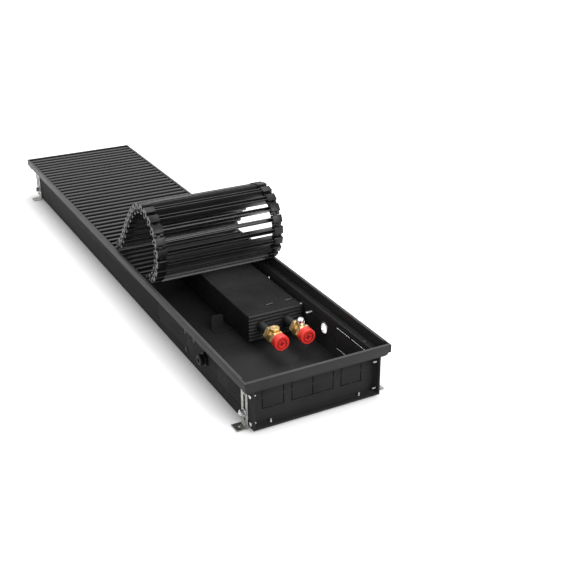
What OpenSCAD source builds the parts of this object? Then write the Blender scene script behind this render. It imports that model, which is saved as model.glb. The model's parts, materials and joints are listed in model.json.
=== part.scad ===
// Trench convector heater with its roll-up grille partly rolled back.
// Millimetres, +X right, +Y along the trench away from the valves, +Z up.
// Origin on the floor, under the middle of the rim frame.

/* [Rim frame] */
// Outer width of the rim frame
rim_w = 260; // [256:1:300]
// Outer length of the rim frame
rim_l = 1222; // [1200:1:1400]
// Width of the rim's top edge
rim_edge = 5.5; // [5:0.1:6.5]
// How far the hanging lip stands out beyond the skirt below it
rim_lip_t = 3; // [2:0.1:3.5]
// Height of the hanging lip
rim_lip_h = 14; // [10:0.5:15]
// Height of the skirt that shows below the lip
rim_skirt_h = 3; // [1:0.5:3.5]
// Thickness of the neck that joins the rim to its leg
rim_neck_t = 1.3; // [1:0.1:2]
// Thickness of the leg that lies on the casing flange
rim_leg_t = 1.2; // [1:0.1:2]
// Hairline joint where an end rail meets a side rail
rim_joint = 0.3; // [0.1:0.1:0.6]

/* [Casing] */
// Distance from the rim's outer side to the casing wall
wall_inset = 16; // [14:0.5:19]
// Height of the casing's side walls
casing_h = 70; // [68:1:90]
// Sheet thickness of the casing and its end panels
sheet = 1.25; // [1:0.05:1.6]
// Distance from the rim's outer end to the end of the casing
casing_inset = 4.5; // [3:0.5:8]
// Distance from the rim's outer end to the face of the end panel
end_recess = 24; // [20:0.5:25]
// Clearance between the rim's neck and the casing flange
flange_gap = 1.8; // [0.5:0.1:3]
// Height of the casing above the floor at the lowest foot setting
foot_drop = 5; // [4.5:0.5:10]

/* [Break-out panels] */
// Width of the slots that outline a break-out panel
port_slot = 1.6; // [1:0.1:2]
// Length of the bridges that hold a break-out panel
port_bridge = 3; // [2:0.5:5]
// Distance from a casing wall to the outer break-out panel of the end panel
port_margin = 22.55; // [16:0.05:28]
// Distance from an outer break-out panel to the inner pair
port_gap = 13; // [6:0.5:20]
// Height of a break-out panel in the end panels
port_h = 40; // [30:1:41]
// Height of its lower edge above the underside of the casing
port_z = 22; // [16:1:23]
// Height of the break-out panel in the side walls
side_port_h = 40.5; // [30:0.5:44]
// Height of its lower edge above the underside of the casing
side_port_z = 19.5; // [14:0.5:22]
// Distance from the rim's outer end to the break-out panel in the side walls
side_port_y = 50.5; // [50:0.5:60]
// Distance from the rim's outer end to that panel's far edge
side_port_end = 140.5; // [120:0.5:142]

/* [Heat exchanger] */
// Width of the fins
fin_w = 106; // [94:1:110]
// Height of the fins
fin_h = 51.5; // [46:0.5:54]
// Thickness of one fin
fin_t = 0.5; // [0.4:0.05:0.8]
// Distance from fin to fin
fin_pitch = 5; // [4:0.5:10]
// Height of the fins' lower edge above the underside of the casing
fin_z = 6.5; // [6:0.5:12]
// Distance from the rim's outer end to the front of the exchanger
exch_y = 250; // [245:1:270]
// Distance from the rim's other outer end to the rear of the exchanger
exch_rear = 82; // [80:1:200]
// Gap between the exchanger and the right wall
exch_gap = 6.75; // [5:0.25:8]
// Outer diameter of the water pipes
pipe_d = 15; // [12:0.5:15.5]
// Wall thickness of the water pipes
pipe_t = 1; // [0.8:0.1:1.5]
// Distance between the two pipes
pipe_gap = 51; // [46:1:56]
// Distance from the exchanger's left side to the first pipe
pipe_inset = 23; // [20:0.5:28]
// Height of the pipes above the lower edge of the fins
pipe_rise = 31.5; // [24:0.5:34]
// Depth of the grooves pressed in the exchanger's end plates
groove_t = 1.4; // [1:0.1:2]
// Number of ribs between the grooves of an end plate
groove_n = 8; // [5:1:10]

/* [Valves] */
// Distance from the face of the protective caps to the exchanger
cap_reach = 81; // [78:1:88]
// Outer diameter of a protective cap
cap_d = 28.8; // [27:0.1:30]
// Length of a protective cap
cap_l = 13; // [11:0.5:14]
// Wall of a protective cap
cap_t = 1.7; // [1.4:0.1:2]
// Running clearance of a turning piece on its seat, on the radius
turn_fit = 0.05; // [0.02:0.01:0.1]
// Width across flats of the connection hexagon
hex_af = 26.5; // [26:0.5:28]
// Width across flats of the pipe nut
nut_af = 26.5; // [24:0.5:28]
// Length of the pipe nut
nut_l = 9; // [8:0.5:11]
// Diameter of the round valve body
body_d = 19; // [18.5:0.5:22]
// Distance from the cap face to the upright neck of the valve
neck_y = 28; // [27.5:0.5:29]
// Diameter of the upright neck of the valve
neck_d = 11; // [10:0.5:12]
// Diameter of the spindle cap on the left valve
spindle_cap_d = 17.5; // [15:0.5:18]
// Height of the spindle cap on the left valve
spindle_cap_h = 4.5; // [4.5:0.5:6]
// Diameter of the air vent on the right valve
vent_d = 15; // [13:0.5:16]
// Height of the air vent on the right valve
vent_h = 10.5; // [9:0.5:12]

/* [Grille] */
// Distance from slat to slat
slat_pitch = 19.7; // [19.5:0.1:20.5]
// Width of a slat
slat_w = 7.5; // [6.5:0.1:8]
// Height of a slat
slat_h = 17; // [16:0.5:17]
// Wall of the slat's channel section
slat_t = 1.3; // [1:0.1:1.6]
// Clearance between the slat ends and the rim
slat_end_gap = 1; // [0.5:0.1:2]
// Clearance between the grille and the ledge that it lies on
seat_gap = 0.3; // [0.1:0.1:0.5]
// Width of a link block along the slat
link_w = 18; // [16:0.5:22]
// Length of a link block along the chain
link_l = 14.4; // [13.5:0.1:14.5]
// Thickness of the sole that a link block has under the slat
link_sole = 1; // [0.8:0.1:1.5]
// Height of the hinge line above the underside of the slat
hinge_h = 7.5; // [7:0.1:8]
// Radius of the link's knuckles
knuckle_r = 2.3; // [2:0.05:2.35]
// Radius of the link's hinge pin
link_pin_r = 1.2; // [1:0.05:1.4]
// Gap between the landed free end and the flat part under it
landing_gap = 0.4; // [0.2:0.1:1]

/* [Feet] */
// Width of a foot plate
foot_w = 21.5; // [20.5:0.5:24]
// Thickness of a foot
foot_t = 2; // [1.5:0.1:2.5]
// Distance from the rim's outer end to the edge of a foot plate
foot_y = 21.5; // [21.5:0.5:26]
// Height of a foot plate's top above the underside of the casing
foot_top = 57.5; // [56:0.5:62]
// How far a foot's tab reaches from the casing wall
foot_tab_l = 20.3; // [14:0.1:22]
// Clearance between a foot plate and what holds it
foot_gap = 0.15; // [0.1:0.05:0.3]
// Diameter of the clamping stud
stud_d = 6; // [5:0.5:6]
// Height of the clamping stud above the underside of the casing
stud_z = 20.5; // [19.5:0.5:24]
// How far a foot can be let down
foot_travel = 28; // [10:1:30]
// Radius of the screw hole in the tab of a foot
foot_hole_r = 2.6; // [2:0.1:3]

/* [Cable entries] */
// Distance from the rim's outer end to the cable entries
entry_y = 181; // [178:1:186]
// Height of the cable entries above the underside of the casing
entry_z = 40; // [30:1:44]
// Diameter of the threaded stub of the gland
gland_d = 16; // [14:0.5:17]
// Bore of the gland, as a radius
gland_bore_r = 4; // [3:0.5:5]
// Bore of the wall grommet, as a radius
grommet_bore_r = 9.3; // [7:0.1:10]

/* [Hidden] */
$fn = 48;
cut = 1; // overrun of every cut
fit = 0.1; // clearance of a fixed piece on its seat
face_gap = 0.3; // clearance between turning faces
hex_sides = 6;
half_turn = 180;

// Bends of the rolled end from the flat part to the free end, in degrees.
// The one at crown_joint is worked out so that the free end lands on the flat part.
roll_bends = [12, 11, 10, 11, 15, 18, 17, 16, 16, 18, 19, 19, 18, 14, 8, 5, 3, 2, 1, -3, -8, -14];
crown_joint = 14;
crown_least = 0;
crown_most = 30;
halvings = 40;
rolled_n = len(roll_bends);

// Rim section, measured inwards from the outer face and up from the underside of the casing
top_step = 0.5; // the slats lie this far below the rim's top
rim_bevel = 0.5;
rail_depth = wall_inset + sheet;
neck_in = rim_edge - rim_neck_t;
flange_z = casing_h;
seat_z = flange_z + rim_leg_t;
rim_top = seat_z + seat_gap + link_sole + slat_h + top_step;
lip_z = rim_top - rim_lip_h;
skirt_z = lip_z - rim_skirt_h;
flange_x = rim_w / 2 - neck_in - flange_gap;
leg_mid = (rim_edge + rail_depth) / 2;
rim_screw_r = 1.5;
rim_screw_head_r = 2.7;
rim_screw_l = 6;
side_screw_n = 5;
side_screw_end = 60; // first screw in a side rail from the rim's outer end
end_screw_x = 60;

// Casing
casing_w = rim_w - 2 * wall_inset;
wall_x = casing_w / 2;
inner_x = wall_x - sheet;
casing_l = rim_l - 2 * casing_inset;
panel_y = end_recess + sheet;
port_w = (2 * (inner_x - port_margin - port_gap) + port_slot) / 4;
port_x = inner_x - port_margin - port_w / 2;
side_port_l = side_port_end - side_port_y;

// Screws that hold the end panels
screw_r = 2;
screw_head_r = 4;
screw_head_h = 2.4;
screw_l = 9;
screw_y = 14;
screw_low_z = 8;
screw_high_z = 57;
floor_screw_x = 80;

// Floor plate in the connection bay, with upright tabs at the sides
floor_plate_t = 1;
floor_plate_gap = 0.75; // behind the end panel
floor_plate_end = 18; // reaches this far past the front of the exchanger
floor_tab_l = 50;
floor_tab_top = 60;
floor_tab_chamfer = 4;
bolt_r = 2.5;
bolt_head_r = 4.5;
bolt_head_h = 2.6;
long_bolt = 14;
short_bolt = 6;
bolt_front = 25; // in front of the exchanger
bolt_rear = 12; // past the front of the exchanger
bolt_high_z = 53;
bolt_low_z = 18;
fixing_hole_r = 2.5;
fixing_hole_y = 393;
fixing_hole_high_z = 52;
fixing_hole_low_z = 20;

// Exchanger
exch_x = inner_x - exch_gap - fin_w;
exch_end = rim_l - exch_rear;
pipe_z = fin_z + pipe_rise;
pipe_r = pipe_d / 2;
pipe_xs = [exch_x + pipe_inset, exch_x + pipe_inset + pipe_gap];
plate_t = 1.2;
plate_gap = 1; // end plate to the first fin
rib_edge_share = 0.18; // of the rib pitch, each side of a rib
rib_slope_share = 0.12; // of the rib pitch, along each flank of a rib
fins_start = exch_y + plate_t + groove_t + plate_gap;
fins_stop = exch_end - plate_t - groove_t - plate_gap;
fin_n = floor((fins_stop - fins_start - fin_t) / fin_pitch) + 1;
clip_w = 14;
clip_t = 0.8;
clip_leg = 5;
clip_fin = 5; // the fin that the clips sit on
clip_shares = [0.45, 0.83]; // of the fin width, to a clip's left side
bend_sleeve_l = 14;
bend_wall = 1.1;
bend_start = 4; // behind the exchanger
pipe_stop = bend_start + bend_sleeve_l - 2 * bend_wall; // behind the exchanger

// Supports under the exchanger
bracket_t = 1.5;
bracket_flange = 14;
post_w = 24;
post_round = 6;
post_top = 31;
post_gap = 12;
bracket_shares = [0.095, 0.5, 0.9]; // of the exchanger's length

// Valves, measured from the cap face away from the rim's end
cap_y = exch_y - cap_reach;
hex_l = 8;
hex_bevel = 1;
body_l = 13;
cap_floor = 1.7;
thread_r = cap_d / 2 - cap_t - turn_fit;
thread_start = cap_floor + face_gap;
hex_start = cap_l + face_gap;
body_start = hex_start + hex_l;
body_stop = body_start + body_l;
bore_r = 5;
socket_l = 6;
neck_top = max(hex_af, nut_af) / 2 + face_gap; // above the pipe's centre line
pin_r = 3.5;
pin_h = 3;
dome_h = 4;
cap_bevel = 1.2;
cap_ring_r = 9;
cap_ring_t = 1.3;
cap_rib_h = 0.7;
cap_rib_w = 1.6;
vent_screw_r = 2.5;
vent_screw_h = 2.2;
vent_pocket = 1.4;
driver_slot = 0.8;

// Grille
slat_n = floor((rim_l - 2 * (rim_edge + slat_pitch / 2)) / slat_pitch) + 1;
flat_n = slat_n - rolled_n;
slat_l = rim_w - 2 * (rim_edge + slat_end_gap);
first_slat = (rim_l - (slat_n - 1) * slat_pitch) / 2;
roll_start = first_slat + (rolled_n - 1 / 2) * slat_pitch;
hinge_z = seat_z + seat_gap + link_sole + hinge_h;
slat_up = slat_h - hinge_h;
slat_crown = 2; // thickness of the slat's top
slat_chamfer = 0.6;
link_chamfer = 1;
eye_w = 6;
eye_gap = 0.4;
plug_h = 5;

// Feet
slot_gap = 0.2; // beside the stud
slot_end_gap = 0.5; // beyond the stud
eye_r = 3;
eye_z = 7.5;
small_hole_r = 1.1;
small_hole_x = 5.6;
small_hole_y = 6.4;
washer_r = 6.5;
washer_t = 1.2;
lock_r = 5;
lock_t = 1.6;
lock_split = 1.4;
stud_nut_af = 10;
stud_nut_t = 5;
stud_end = 2; // beyond the nut
stud_head_r = 5.5;
stud_head_t = 2;

// Cable entries
gland_flange_af = 22;
gland_flange_t = 5;
gland_dome_r = 9.5;
gland_dome_l = 8.5;
gland_round = 2.5;
gland_stub = 6; // inside the wall
locknut_af = 22;
locknut_t = 3.5;
grommet_wall = 1.6;
grommet_lip = 1.4;
grommet_lip_t = 1.3;
grommet_hole_r = grommet_bore_r + grommet_wall + fit;

function slat_name(k) = str("slat_", k < 10 ? "0" : "", k);

// Places and directions
// Inside it, y runs from the rim's front end and z from the underside of the casing
module from_front() {
    translate([0, -rim_l / 2, foot_drop]) children();
}
module both_sides() {
    children();
    mirror([1, 0, 0]) children();
}
module rear_end() {
    translate([0, rim_l, 0]) mirror([0, 1, 0]) children();
}
module both_ends() {
    children();
    rear_end() children();
}
// A profile drawn in y and z, from the centre to both sides
module along_x(l) {
    rotate([90, 0, 90]) linear_extrude(l, center = true) children();
}
// A profile drawn in x and z, from y = 0 to y = l
module along_y(l) {
    translate([0, l, 0]) rotate([90, 0, 0]) linear_extrude(l) children();
}
module rod_x(r, l) {
    rotate([0, 90, 0]) cylinder(h = l, r = r);
}
module rod_y(r, l) {
    rotate([-90, 0, 0]) cylinder(h = l, r = r);
}
function corner_r(af) = af / 2 / cos(half_turn / hex_sides);
module hexagon(af, l) {
    cylinder(h = l, r = corner_r(af), $fn = hex_sides);
}
// A hexagon along +Z with turned corners at its start
module turned_hexagon(af, l) {
    intersection() {
        hexagon(af, l);
        union() {
            cylinder(h = hex_bevel, r1 = af / 2, r2 = corner_r(af));
            translate([0, 0, hex_bevel]) cylinder(h = l, r = corner_r(af) + fit);
        }
    }
}

// Rim frame
// The upright bar, and beside it the ledge strip that carries the grille on the casing flange
module rim_profile() {
    polygon([
        [rim_bevel, rim_top], [rim_edge - rim_bevel, rim_top], [rim_edge, rim_top - rim_bevel],
        [rim_edge, flange_z], [neck_in, flange_z], [neck_in, skirt_z], [rim_lip_t, skirt_z],
        [rim_lip_t, lip_z], [0, lip_z], [0, rim_top - rim_bevel]
    ]);
    translate([rim_edge + fit, flange_z]) square([rail_depth - rim_edge - fit, rim_leg_t]);
}
module at_side_screws() {
    for (i = [0:side_screw_n - 1])
        translate([
            rim_w / 2 - leg_mid,
            side_screw_end + i * (rim_l - 2 * side_screw_end) / (side_screw_n - 1),
            seat_z
        ]) children();
}
module at_end_screws() {
    for (side = [-1, 1])
        translate([side * end_screw_x, leg_mid, seat_z]) children();
}
// Countersunk screw hanging down from z = 0, made larger by g for its hole
module sunk_screw(l, g) {
    translate([0, 0, -rim_leg_t]) cylinder(h = rim_leg_t, r1 = rim_screw_r + g, r2 = rim_screw_head_r + g);
    translate([0, 0, -l]) cylinder(h = l - rim_leg_t / 2, r = rim_screw_r + g);
}
// The side rails' lips close the frame's corners, the rest stops at the end rails
module side_rail() {
    difference() {
        translate([-rim_w / 2, 0, 0]) along_y(rim_l) rim_profile();
        both_ends()
            translate([-rim_w / 2 + rim_lip_t, -cut, -cut])
                cube([rail_depth, cut + rail_depth + rim_joint, rim_top + 2 * cut]);
        mirror([1, 0, 0]) at_side_screws() sunk_screw(rim_screw_l, fit);
    }
}
module end_rail() {
    difference() {
        along_x(rim_w - 2 * (rim_lip_t + rim_joint)) rim_profile();
        at_end_screws() sunk_screw(rim_screw_l, fit);
    }
}
module rim_left() {
    color("#3a3b3d") from_front() side_rail();
}
module rim_right() {
    color("#3a3b3d") from_front() mirror([1, 0, 0]) side_rail();
}
module rim_front() {
    color("#3a3b3d") from_front() end_rail();
}
module rim_rear() {
    color("#3a3b3d") from_front() rear_end() end_rail();
}
module rim_screws() {
    color("#8c8d90") from_front() {
        both_sides() at_side_screws() sunk_screw(rim_screw_l, 0);
        both_ends() at_end_screws() sunk_screw(rim_screw_l, 0);
    }
}

// Casing
// Outline slots of a break-out panel, with a bridge in the middle of each side
module port_outline(w, h) {
    difference() {
        square([w, h]);
        translate([port_slot, port_slot]) square([w - 2 * port_slot, h - 2 * port_slot]);
        translate([(w - port_bridge) / 2, -cut]) square([port_bridge, h + 2 * cut]);
        translate([-cut, (h - port_bridge) / 2]) square([w + 2 * cut, port_bridge]);
    }
}
// Places of the end panel's screws: in the right wall, and in the floor
module at_wall_screws() {
    for (z = [screw_low_z, screw_high_z])
        translate([wall_x, screw_y, z]) rotate([0, -90, 0]) children();
}
module at_floor_screws() {
    for (side = [-1, 1])
        translate([side * floor_screw_x, screw_y, 0]) children();
}
// Places of the bolts in one wall, each with its length
side_bolt_places = [
    [exch_y - bolt_front, bolt_high_z, long_bolt],
    [exch_y + bolt_rear, bolt_high_z, short_bolt],
    [exch_y + bolt_rear, bolt_low_z, short_bolt]
];
module casing_profile() {
    polygon([
        [-wall_x, 0], [wall_x, 0], [wall_x, flange_z - sheet], [flange_x, flange_z - sheet],
        [flange_x, flange_z], [inner_x, flange_z], [inner_x, sheet], [-inner_x, sheet],
        [-inner_x, flange_z], [-flange_x, flange_z], [-flange_x, flange_z - sheet],
        [-wall_x, flange_z - sheet]
    ]);
}
module casing_tray() {
    color("#2b2c2e") from_front() difference() {
        translate([0, casing_inset, 0]) along_y(casing_l) casing_profile();
        translate([0, side_port_y, side_port_z]) along_x(casing_w + 2 * cut) port_outline(side_port_l, side_port_h);
        both_sides() {
            at_side_screws() sunk_screw(rim_screw_l, fit);
            for (z = [fixing_hole_low_z, fixing_hole_high_z])
                translate([inner_x - cut, fixing_hole_y, z]) rod_x(fixing_hole_r, sheet + 2 * cut);
            for (p = side_bolt_places)
                translate([inner_x - cut, p[0], p[1]]) rod_x(bolt_r + fit, sheet + 2 * cut);
            both_ends() {
                at_wall_screws() cylinder(h = 2 * sheet, r = screw_r + fit);
                translate([inner_x - cut, foot_y + foot_w / 2, stud_z]) rod_x(stud_d / 2 + fit, sheet + 2 * cut);
            }
        }
        both_ends() at_floor_screws() translate([0, 0, -cut]) cylinder(h = sheet + 2 * cut, r = screw_r + fit);
        translate([-wall_x - cut, entry_y, entry_z]) rod_x(gland_d / 2 + fit, sheet + 2 * cut);
        translate([inner_x - cut, entry_y, entry_z]) rod_x(grommet_hole_r, sheet + 2 * cut);
    }
}
// A pressing open to the front, with four break-out panels in its face
module end_panel() {
    difference() {
        translate([-inner_x, casing_inset, sheet]) cube([2 * inner_x, panel_y - casing_inset, flange_z - sheet]);
        translate([-inner_x + sheet, casing_inset - cut, 2 * sheet])
            cube([2 * (inner_x - sheet), end_recess - casing_inset + cut, flange_z - 3 * sheet]);
        for (x = [-port_x, (port_slot - port_w) / 2, (port_w - port_slot) / 2, port_x])
            translate([x - port_w / 2, end_recess - cut, port_z])
                along_y(sheet + 2 * cut) port_outline(port_w, port_h);
        both_sides() at_wall_screws() cylinder(h = 3 * sheet, r = screw_r + fit);
        at_floor_screws() cylinder(h = 3 * sheet, r = screw_r + fit);
        at_end_screws() sunk_screw(rim_screw_l, fit);
    }
}
module front_end_panel() {
    color("#303133") from_front() end_panel();
}
module rear_end_panel() {
    color("#303133") from_front() rear_end() end_panel();
}
// Pan head below z = 0 and shank above it
module pan_screw(r, head_r, head_h, l) {
    cylinder(h = l, r = r);
    translate([0, 0, -head_h]) {
        cylinder(h = head_h / 2, r1 = head_r - head_h / 2, r2 = head_r);
        translate([0, 0, head_h / 2]) cylinder(h = head_h / 2, r = head_r);
    }
}
module panel_screw() {
    pan_screw(screw_r, screw_head_r, screw_head_h, screw_l);
}
module end_panel_screws() {
    color("#b9babc") from_front() both_ends() {
        both_sides() at_wall_screws() panel_screw();
        at_floor_screws() panel_screw();
    }
}
module floor_tab() {
    polygon([
        [0, 0], [floor_tab_l, 0], [floor_tab_l, floor_tab_top - floor_tab_chamfer],
        [floor_tab_l - floor_tab_chamfer, floor_tab_top], [floor_tab_chamfer, floor_tab_top],
        [0, floor_tab_top - floor_tab_chamfer]
    ]);
}
module floor_plate() {
    start = panel_y + floor_plate_gap;
    stop = exch_y + floor_plate_end;
    half = inner_x - fit;
    color("#252628") from_front() difference() {
        union() {
            translate([-half, start, sheet]) cube([2 * half, stop - start, floor_plate_t]);
            both_sides()
                translate([half - floor_plate_t / 2, stop - floor_tab_l, sheet])
                    along_x(floor_plate_t) floor_tab();
        }
        both_sides()
            for (p = side_bolt_places)
                translate([half - floor_plate_t - cut, p[0], p[1]]) rod_x(bolt_r + fit, floor_plate_t + 2 * cut);
    }
}
module side_bolts() {
    color("#b9babc") from_front() both_sides()
        for (p = side_bolt_places)
            translate([wall_x, p[0], p[1]]) rotate([0, -90, 0])
                pan_screw(bolt_r, bolt_head_r, bolt_head_h, p[2]);
}

// Heat exchanger
module fin_outline() {
    difference() {
        translate([exch_x, fin_z]) square([fin_w, fin_h]);
        for (x = pipe_xs)
            translate([x, pipe_z]) circle(r = pipe_r + fit);
    }
}
module exchanger_fins() {
    color("#26272a") from_front()
        for (i = [0:fin_n - 1])
            translate([0, fins_start + i * fin_pitch, 0]) along_y(fin_t) fin_outline();
}
// Section of an end plate in y and z, its ribs towards the trench's end
module end_plate_section() {
    pitch = fin_h / groove_n;
    flank = rib_edge_share * pitch;
    slope = rib_slope_share * pitch;
    depth = groove_t + plate_t;
    polygon(concat(
        [[depth, 0], [depth, fin_h], [groove_t, fin_h]],
        [for (i = [groove_n - 1:-1:0])
            each [
                [groove_t, (i + 1) * pitch - flank], [0, (i + 1) * pitch - flank - slope],
                [0, i * pitch + flank + slope], [groove_t, i * pitch + flank]
            ]],
        [[groove_t, 0]]
    ));
}
module end_plate() {
    difference() {
        translate([exch_x + fin_w / 2, exch_y, fin_z]) along_x(fin_w) end_plate_section();
        for (x = pipe_xs)
            translate([x, exch_y - cut, pipe_z]) rod_y(pipe_r + fit, groove_t + plate_t + 2 * cut);
    }
}
module exchanger_end_plates() {
    color("#2a2b2e") from_front() {
        end_plate();
        translate([0, exch_y + exch_end, 0]) mirror([0, 1, 0]) end_plate();
    }
}
// Bright clips that straddle one fin and hold the pack's cover strip
module exchanger_clips() {
    span = fin_t + 2 * (clip_t + fit);
    color("#9a9b9e") from_front()
        for (share = clip_shares)
            translate([exch_x + share * fin_w, fins_start + clip_fin * fin_pitch - clip_t - fit, fin_z + fin_h])
                difference() {
                    translate([0, 0, -clip_leg]) cube([clip_w, span, clip_leg + fit + clip_t]);
                    translate([-cut, clip_t, -clip_leg - cut])
                        cube([clip_w + 2 * cut, fin_t + 2 * fit, clip_leg + cut + fit]);
                }
}
// Z-shaped foot under the fins, with an upright post beside them
module bracket() {
    left = exch_x - post_gap - post_w;
    right = exch_x + fin_w;
    web = bracket_flange - bracket_t;
    translate([(left + right) / 2, 0, 0]) along_x(right - left) polygon([
        [0, sheet], [bracket_flange, sheet], [bracket_flange, fin_z], [web, fin_z],
        [web, sheet + bracket_t], [0, sheet + bracket_t]
    ]);
    translate([(exch_x + right) / 2, 0, 0]) along_x(fin_w) polygon([
        [web, fin_z - bracket_t], [web + bracket_flange, fin_z - bracket_t],
        [web + bracket_flange, fin_z], [web, fin_z]
    ]);
    translate([left + post_w / 2, web, 0]) along_y(bracket_t) {
        translate([-post_w / 2, sheet]) square([post_w, post_top - post_round - sheet]);
        translate([post_round - post_w / 2, sheet]) square([post_w - 2 * post_round, post_top - sheet]);
        for (side = [-1, 1])
            translate([side * (post_w / 2 - post_round), post_top - post_round]) circle(r = post_round);
    }
}
module exchanger_brackets() {
    color("#2a2b2e") from_front()
        for (share = bracket_shares)
            translate([0, exch_y + share * (exch_end - exch_y) - bracket_flange, 0]) bracket();
}
// Pipe from the valve's socket to the return bend
module water_pipe(x) {
    start = cap_y + body_stop - socket_l + face_gap;
    l = exch_end + pipe_stop - start;
    from_front() translate([x, start, pipe_z]) difference() {
        rod_y(pipe_r, l);
        translate([0, -cut, 0]) rod_y(pipe_r - pipe_t, l + 2 * cut);
    }
}
module supply_pipe() {
    color("#3b3c3f") water_pipe(pipe_xs[0]);
}
module return_pipe() {
    color("#3b3c3f") water_pipe(pipe_xs[1]);
}
// Half a ring of tube with a widened sleeve over each pipe end
module half_ring(r) {
    rotate_extrude(angle = 180) translate([pipe_gap / 2, 0]) circle(r = r);
}
module return_bend() {
    sleeve_r = pipe_r + fit + bend_wall;
    color("#6f4a35") from_front() translate([0, exch_end + bend_start, pipe_z]) difference() {
        union() {
            for (x = pipe_xs)
                translate([x, 0, 0]) rod_y(sleeve_r, bend_sleeve_l);
            translate([(pipe_xs[0] + pipe_xs[1]) / 2, bend_sleeve_l, 0]) half_ring(pipe_r);
        }
        for (x = pipe_xs)
            translate([x, -cut, 0]) {
                rod_y(pipe_r + fit, cut + bend_sleeve_l - bend_wall);
                rod_y(pipe_r - bend_wall, cut + bend_sleeve_l);
            }
        translate([(pipe_xs[0] + pipe_xs[1]) / 2, bend_sleeve_l, 0]) half_ring(pipe_r - bend_wall);
    }
}

// Valves, drawn from the cap face along +Y with the pipe's centre line on the axis
module at_valve(side) {
    from_front() translate([pipe_xs[side], cap_y, pipe_z]) children();
}
module valve_body() {
    difference() {
        union() {
            translate([0, thread_start, 0]) rod_y(thread_r, hex_start - thread_start);
            translate([0, hex_start, 0]) rotate([-90, 0, 0]) turned_hexagon(hex_af, hex_l);
            translate([0, body_start, 0]) rod_y(body_d / 2, body_l);
            translate([0, neck_y, 0]) {
                cylinder(h = neck_top, d = neck_d);
                cylinder(h = neck_top + pin_h, r = pin_r);
            }
        }
        rod_y(bore_r, body_stop + cut);
        translate([0, body_stop - socket_l, 0]) rod_y(pipe_r + fit, socket_l + cut);
    }
}
module valve_left() {
    color("#b08d4c") at_valve(0) valve_body();
}
module valve_right() {
    color("#b08d4c") at_valve(1) valve_body();
}
module pipe_nuts() {
    color("#b08d4c") for (side = [0, 1])
        at_valve(side) translate([0, body_stop + face_gap, 0]) difference() {
            rotate([-90, 0, 0]) turned_hexagon(nut_af, nut_l);
            translate([0, -cut, 0]) rod_y(pipe_r + fit, nut_l + 2 * cut);
        }
}
// Cap turned on the upright pin, to set the valve behind it
module spindle_cap() {
    color("#c9a45c") at_valve(0) translate([0, neck_y, neck_top + face_gap]) rotate_extrude() polygon([
        [pin_r + turn_fit, 0], [spindle_cap_d / 2 - cap_bevel, 0], [spindle_cap_d / 2, cap_bevel],
        [spindle_cap_d / 2, spindle_cap_h - cap_bevel], [spindle_cap_d / 2 - cap_bevel, spindle_cap_h],
        [0, spindle_cap_h], [0, pin_h], [pin_r + turn_fit, pin_h]
    ]);
}
// Domed air vent pressed on the right valve's pin, with a pocket for its screw
module air_vent() {
    top = neck_top + face_gap + vent_h;
    pocket_r = vent_screw_r + turn_fit;
    color("#c8c9cb") at_valve(1) translate([0, neck_y, 0]) difference() {
        union() {
            translate([0, 0, neck_top + face_gap]) cylinder(h = vent_h - dome_h, d = vent_d);
            translate([0, 0, top - dome_h]) cylinder(h = dome_h, r1 = vent_d / 2, r2 = vent_d / 2 - dome_h);
        }
        cylinder(h = neck_top + pin_h + fit, r = pin_r + fit);
        translate([0, 0, top - vent_pocket]) cylinder(h = vent_pocket + cut, r = pocket_r);
    }
}
module vent_screw() {
    base = neck_top + face_gap + vent_h - vent_pocket + fit;
    color("#d8d9db") at_valve(1) translate([0, neck_y, base]) difference() {
        cylinder(h = vent_screw_h, r = vent_screw_r);
        translate([-vent_screw_r - cut, -driver_slot / 2, vent_screw_h - driver_slot])
            cube([2 * (vent_screw_r + cut), driver_slot, driver_slot + cut]);
    }
}
// Protective cap: a cup with a bevelled rim, and a ring and a cross on its face
module protective_cap() {
    rotate([-90, 0, 0]) {
        rotate_extrude() polygon([
            [0, 0], [cap_d / 2 - cap_bevel, 0], [cap_d / 2, cap_bevel], [cap_d / 2, cap_l],
            [cap_d / 2 - cap_t, cap_l], [cap_d / 2 - cap_t, cap_floor], [0, cap_floor]
        ]);
        translate([0, 0, -cap_rib_h]) {
            difference() {
                cylinder(h = cap_rib_h + cap_floor / 2, r = cap_ring_r);
                translate([0, 0, -cut]) cylinder(h = cap_rib_h + cut, r = cap_ring_r - cap_ring_t);
            }
            for (turn = [0, 90])
                rotate([0, 0, turn]) translate([-cap_ring_r / 2, -cap_rib_w / 2, 0])
                    cube([cap_ring_r, cap_rib_w, cap_rib_h + cap_floor / 2]);
        }
    }
}
module cap_left() {
    color("#c8201c") at_valve(0) protective_cap();
}
module cap_right() {
    color("#c8201c") at_valve(1) protective_cap();
}

// Cable entries
module at_gland() {
    from_front() translate([-wall_x, entry_y, entry_z]) rotate([0, 90, 0]) children();
}
module cable_gland() {
    outer = gland_flange_t + gland_dome_l;
    color("#1c1c1d") at_gland() difference() {
        union() {
            translate([0, 0, -gland_flange_t]) hexagon(gland_flange_af, gland_flange_t);
            cylinder(h = sheet + gland_stub, d = gland_d);
            translate([0, 0, -outer]) {
                cylinder(h = gland_round, r1 = gland_dome_r - gland_round, r2 = gland_dome_r);
                translate([0, 0, gland_round]) cylinder(h = outer - gland_round, r = gland_dome_r);
            }
        }
        translate([0, 0, -outer - cut]) cylinder(h = outer + sheet + gland_stub + 2 * cut, r = gland_bore_r);
    }
}
module gland_locknut() {
    color("#1c1c1d") at_gland() translate([0, 0, sheet]) difference() {
        hexagon(locknut_af, locknut_t);
        translate([0, 0, -cut]) cylinder(h = locknut_t + 2 * cut, r = gland_d / 2 + fit);
    }
}
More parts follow.
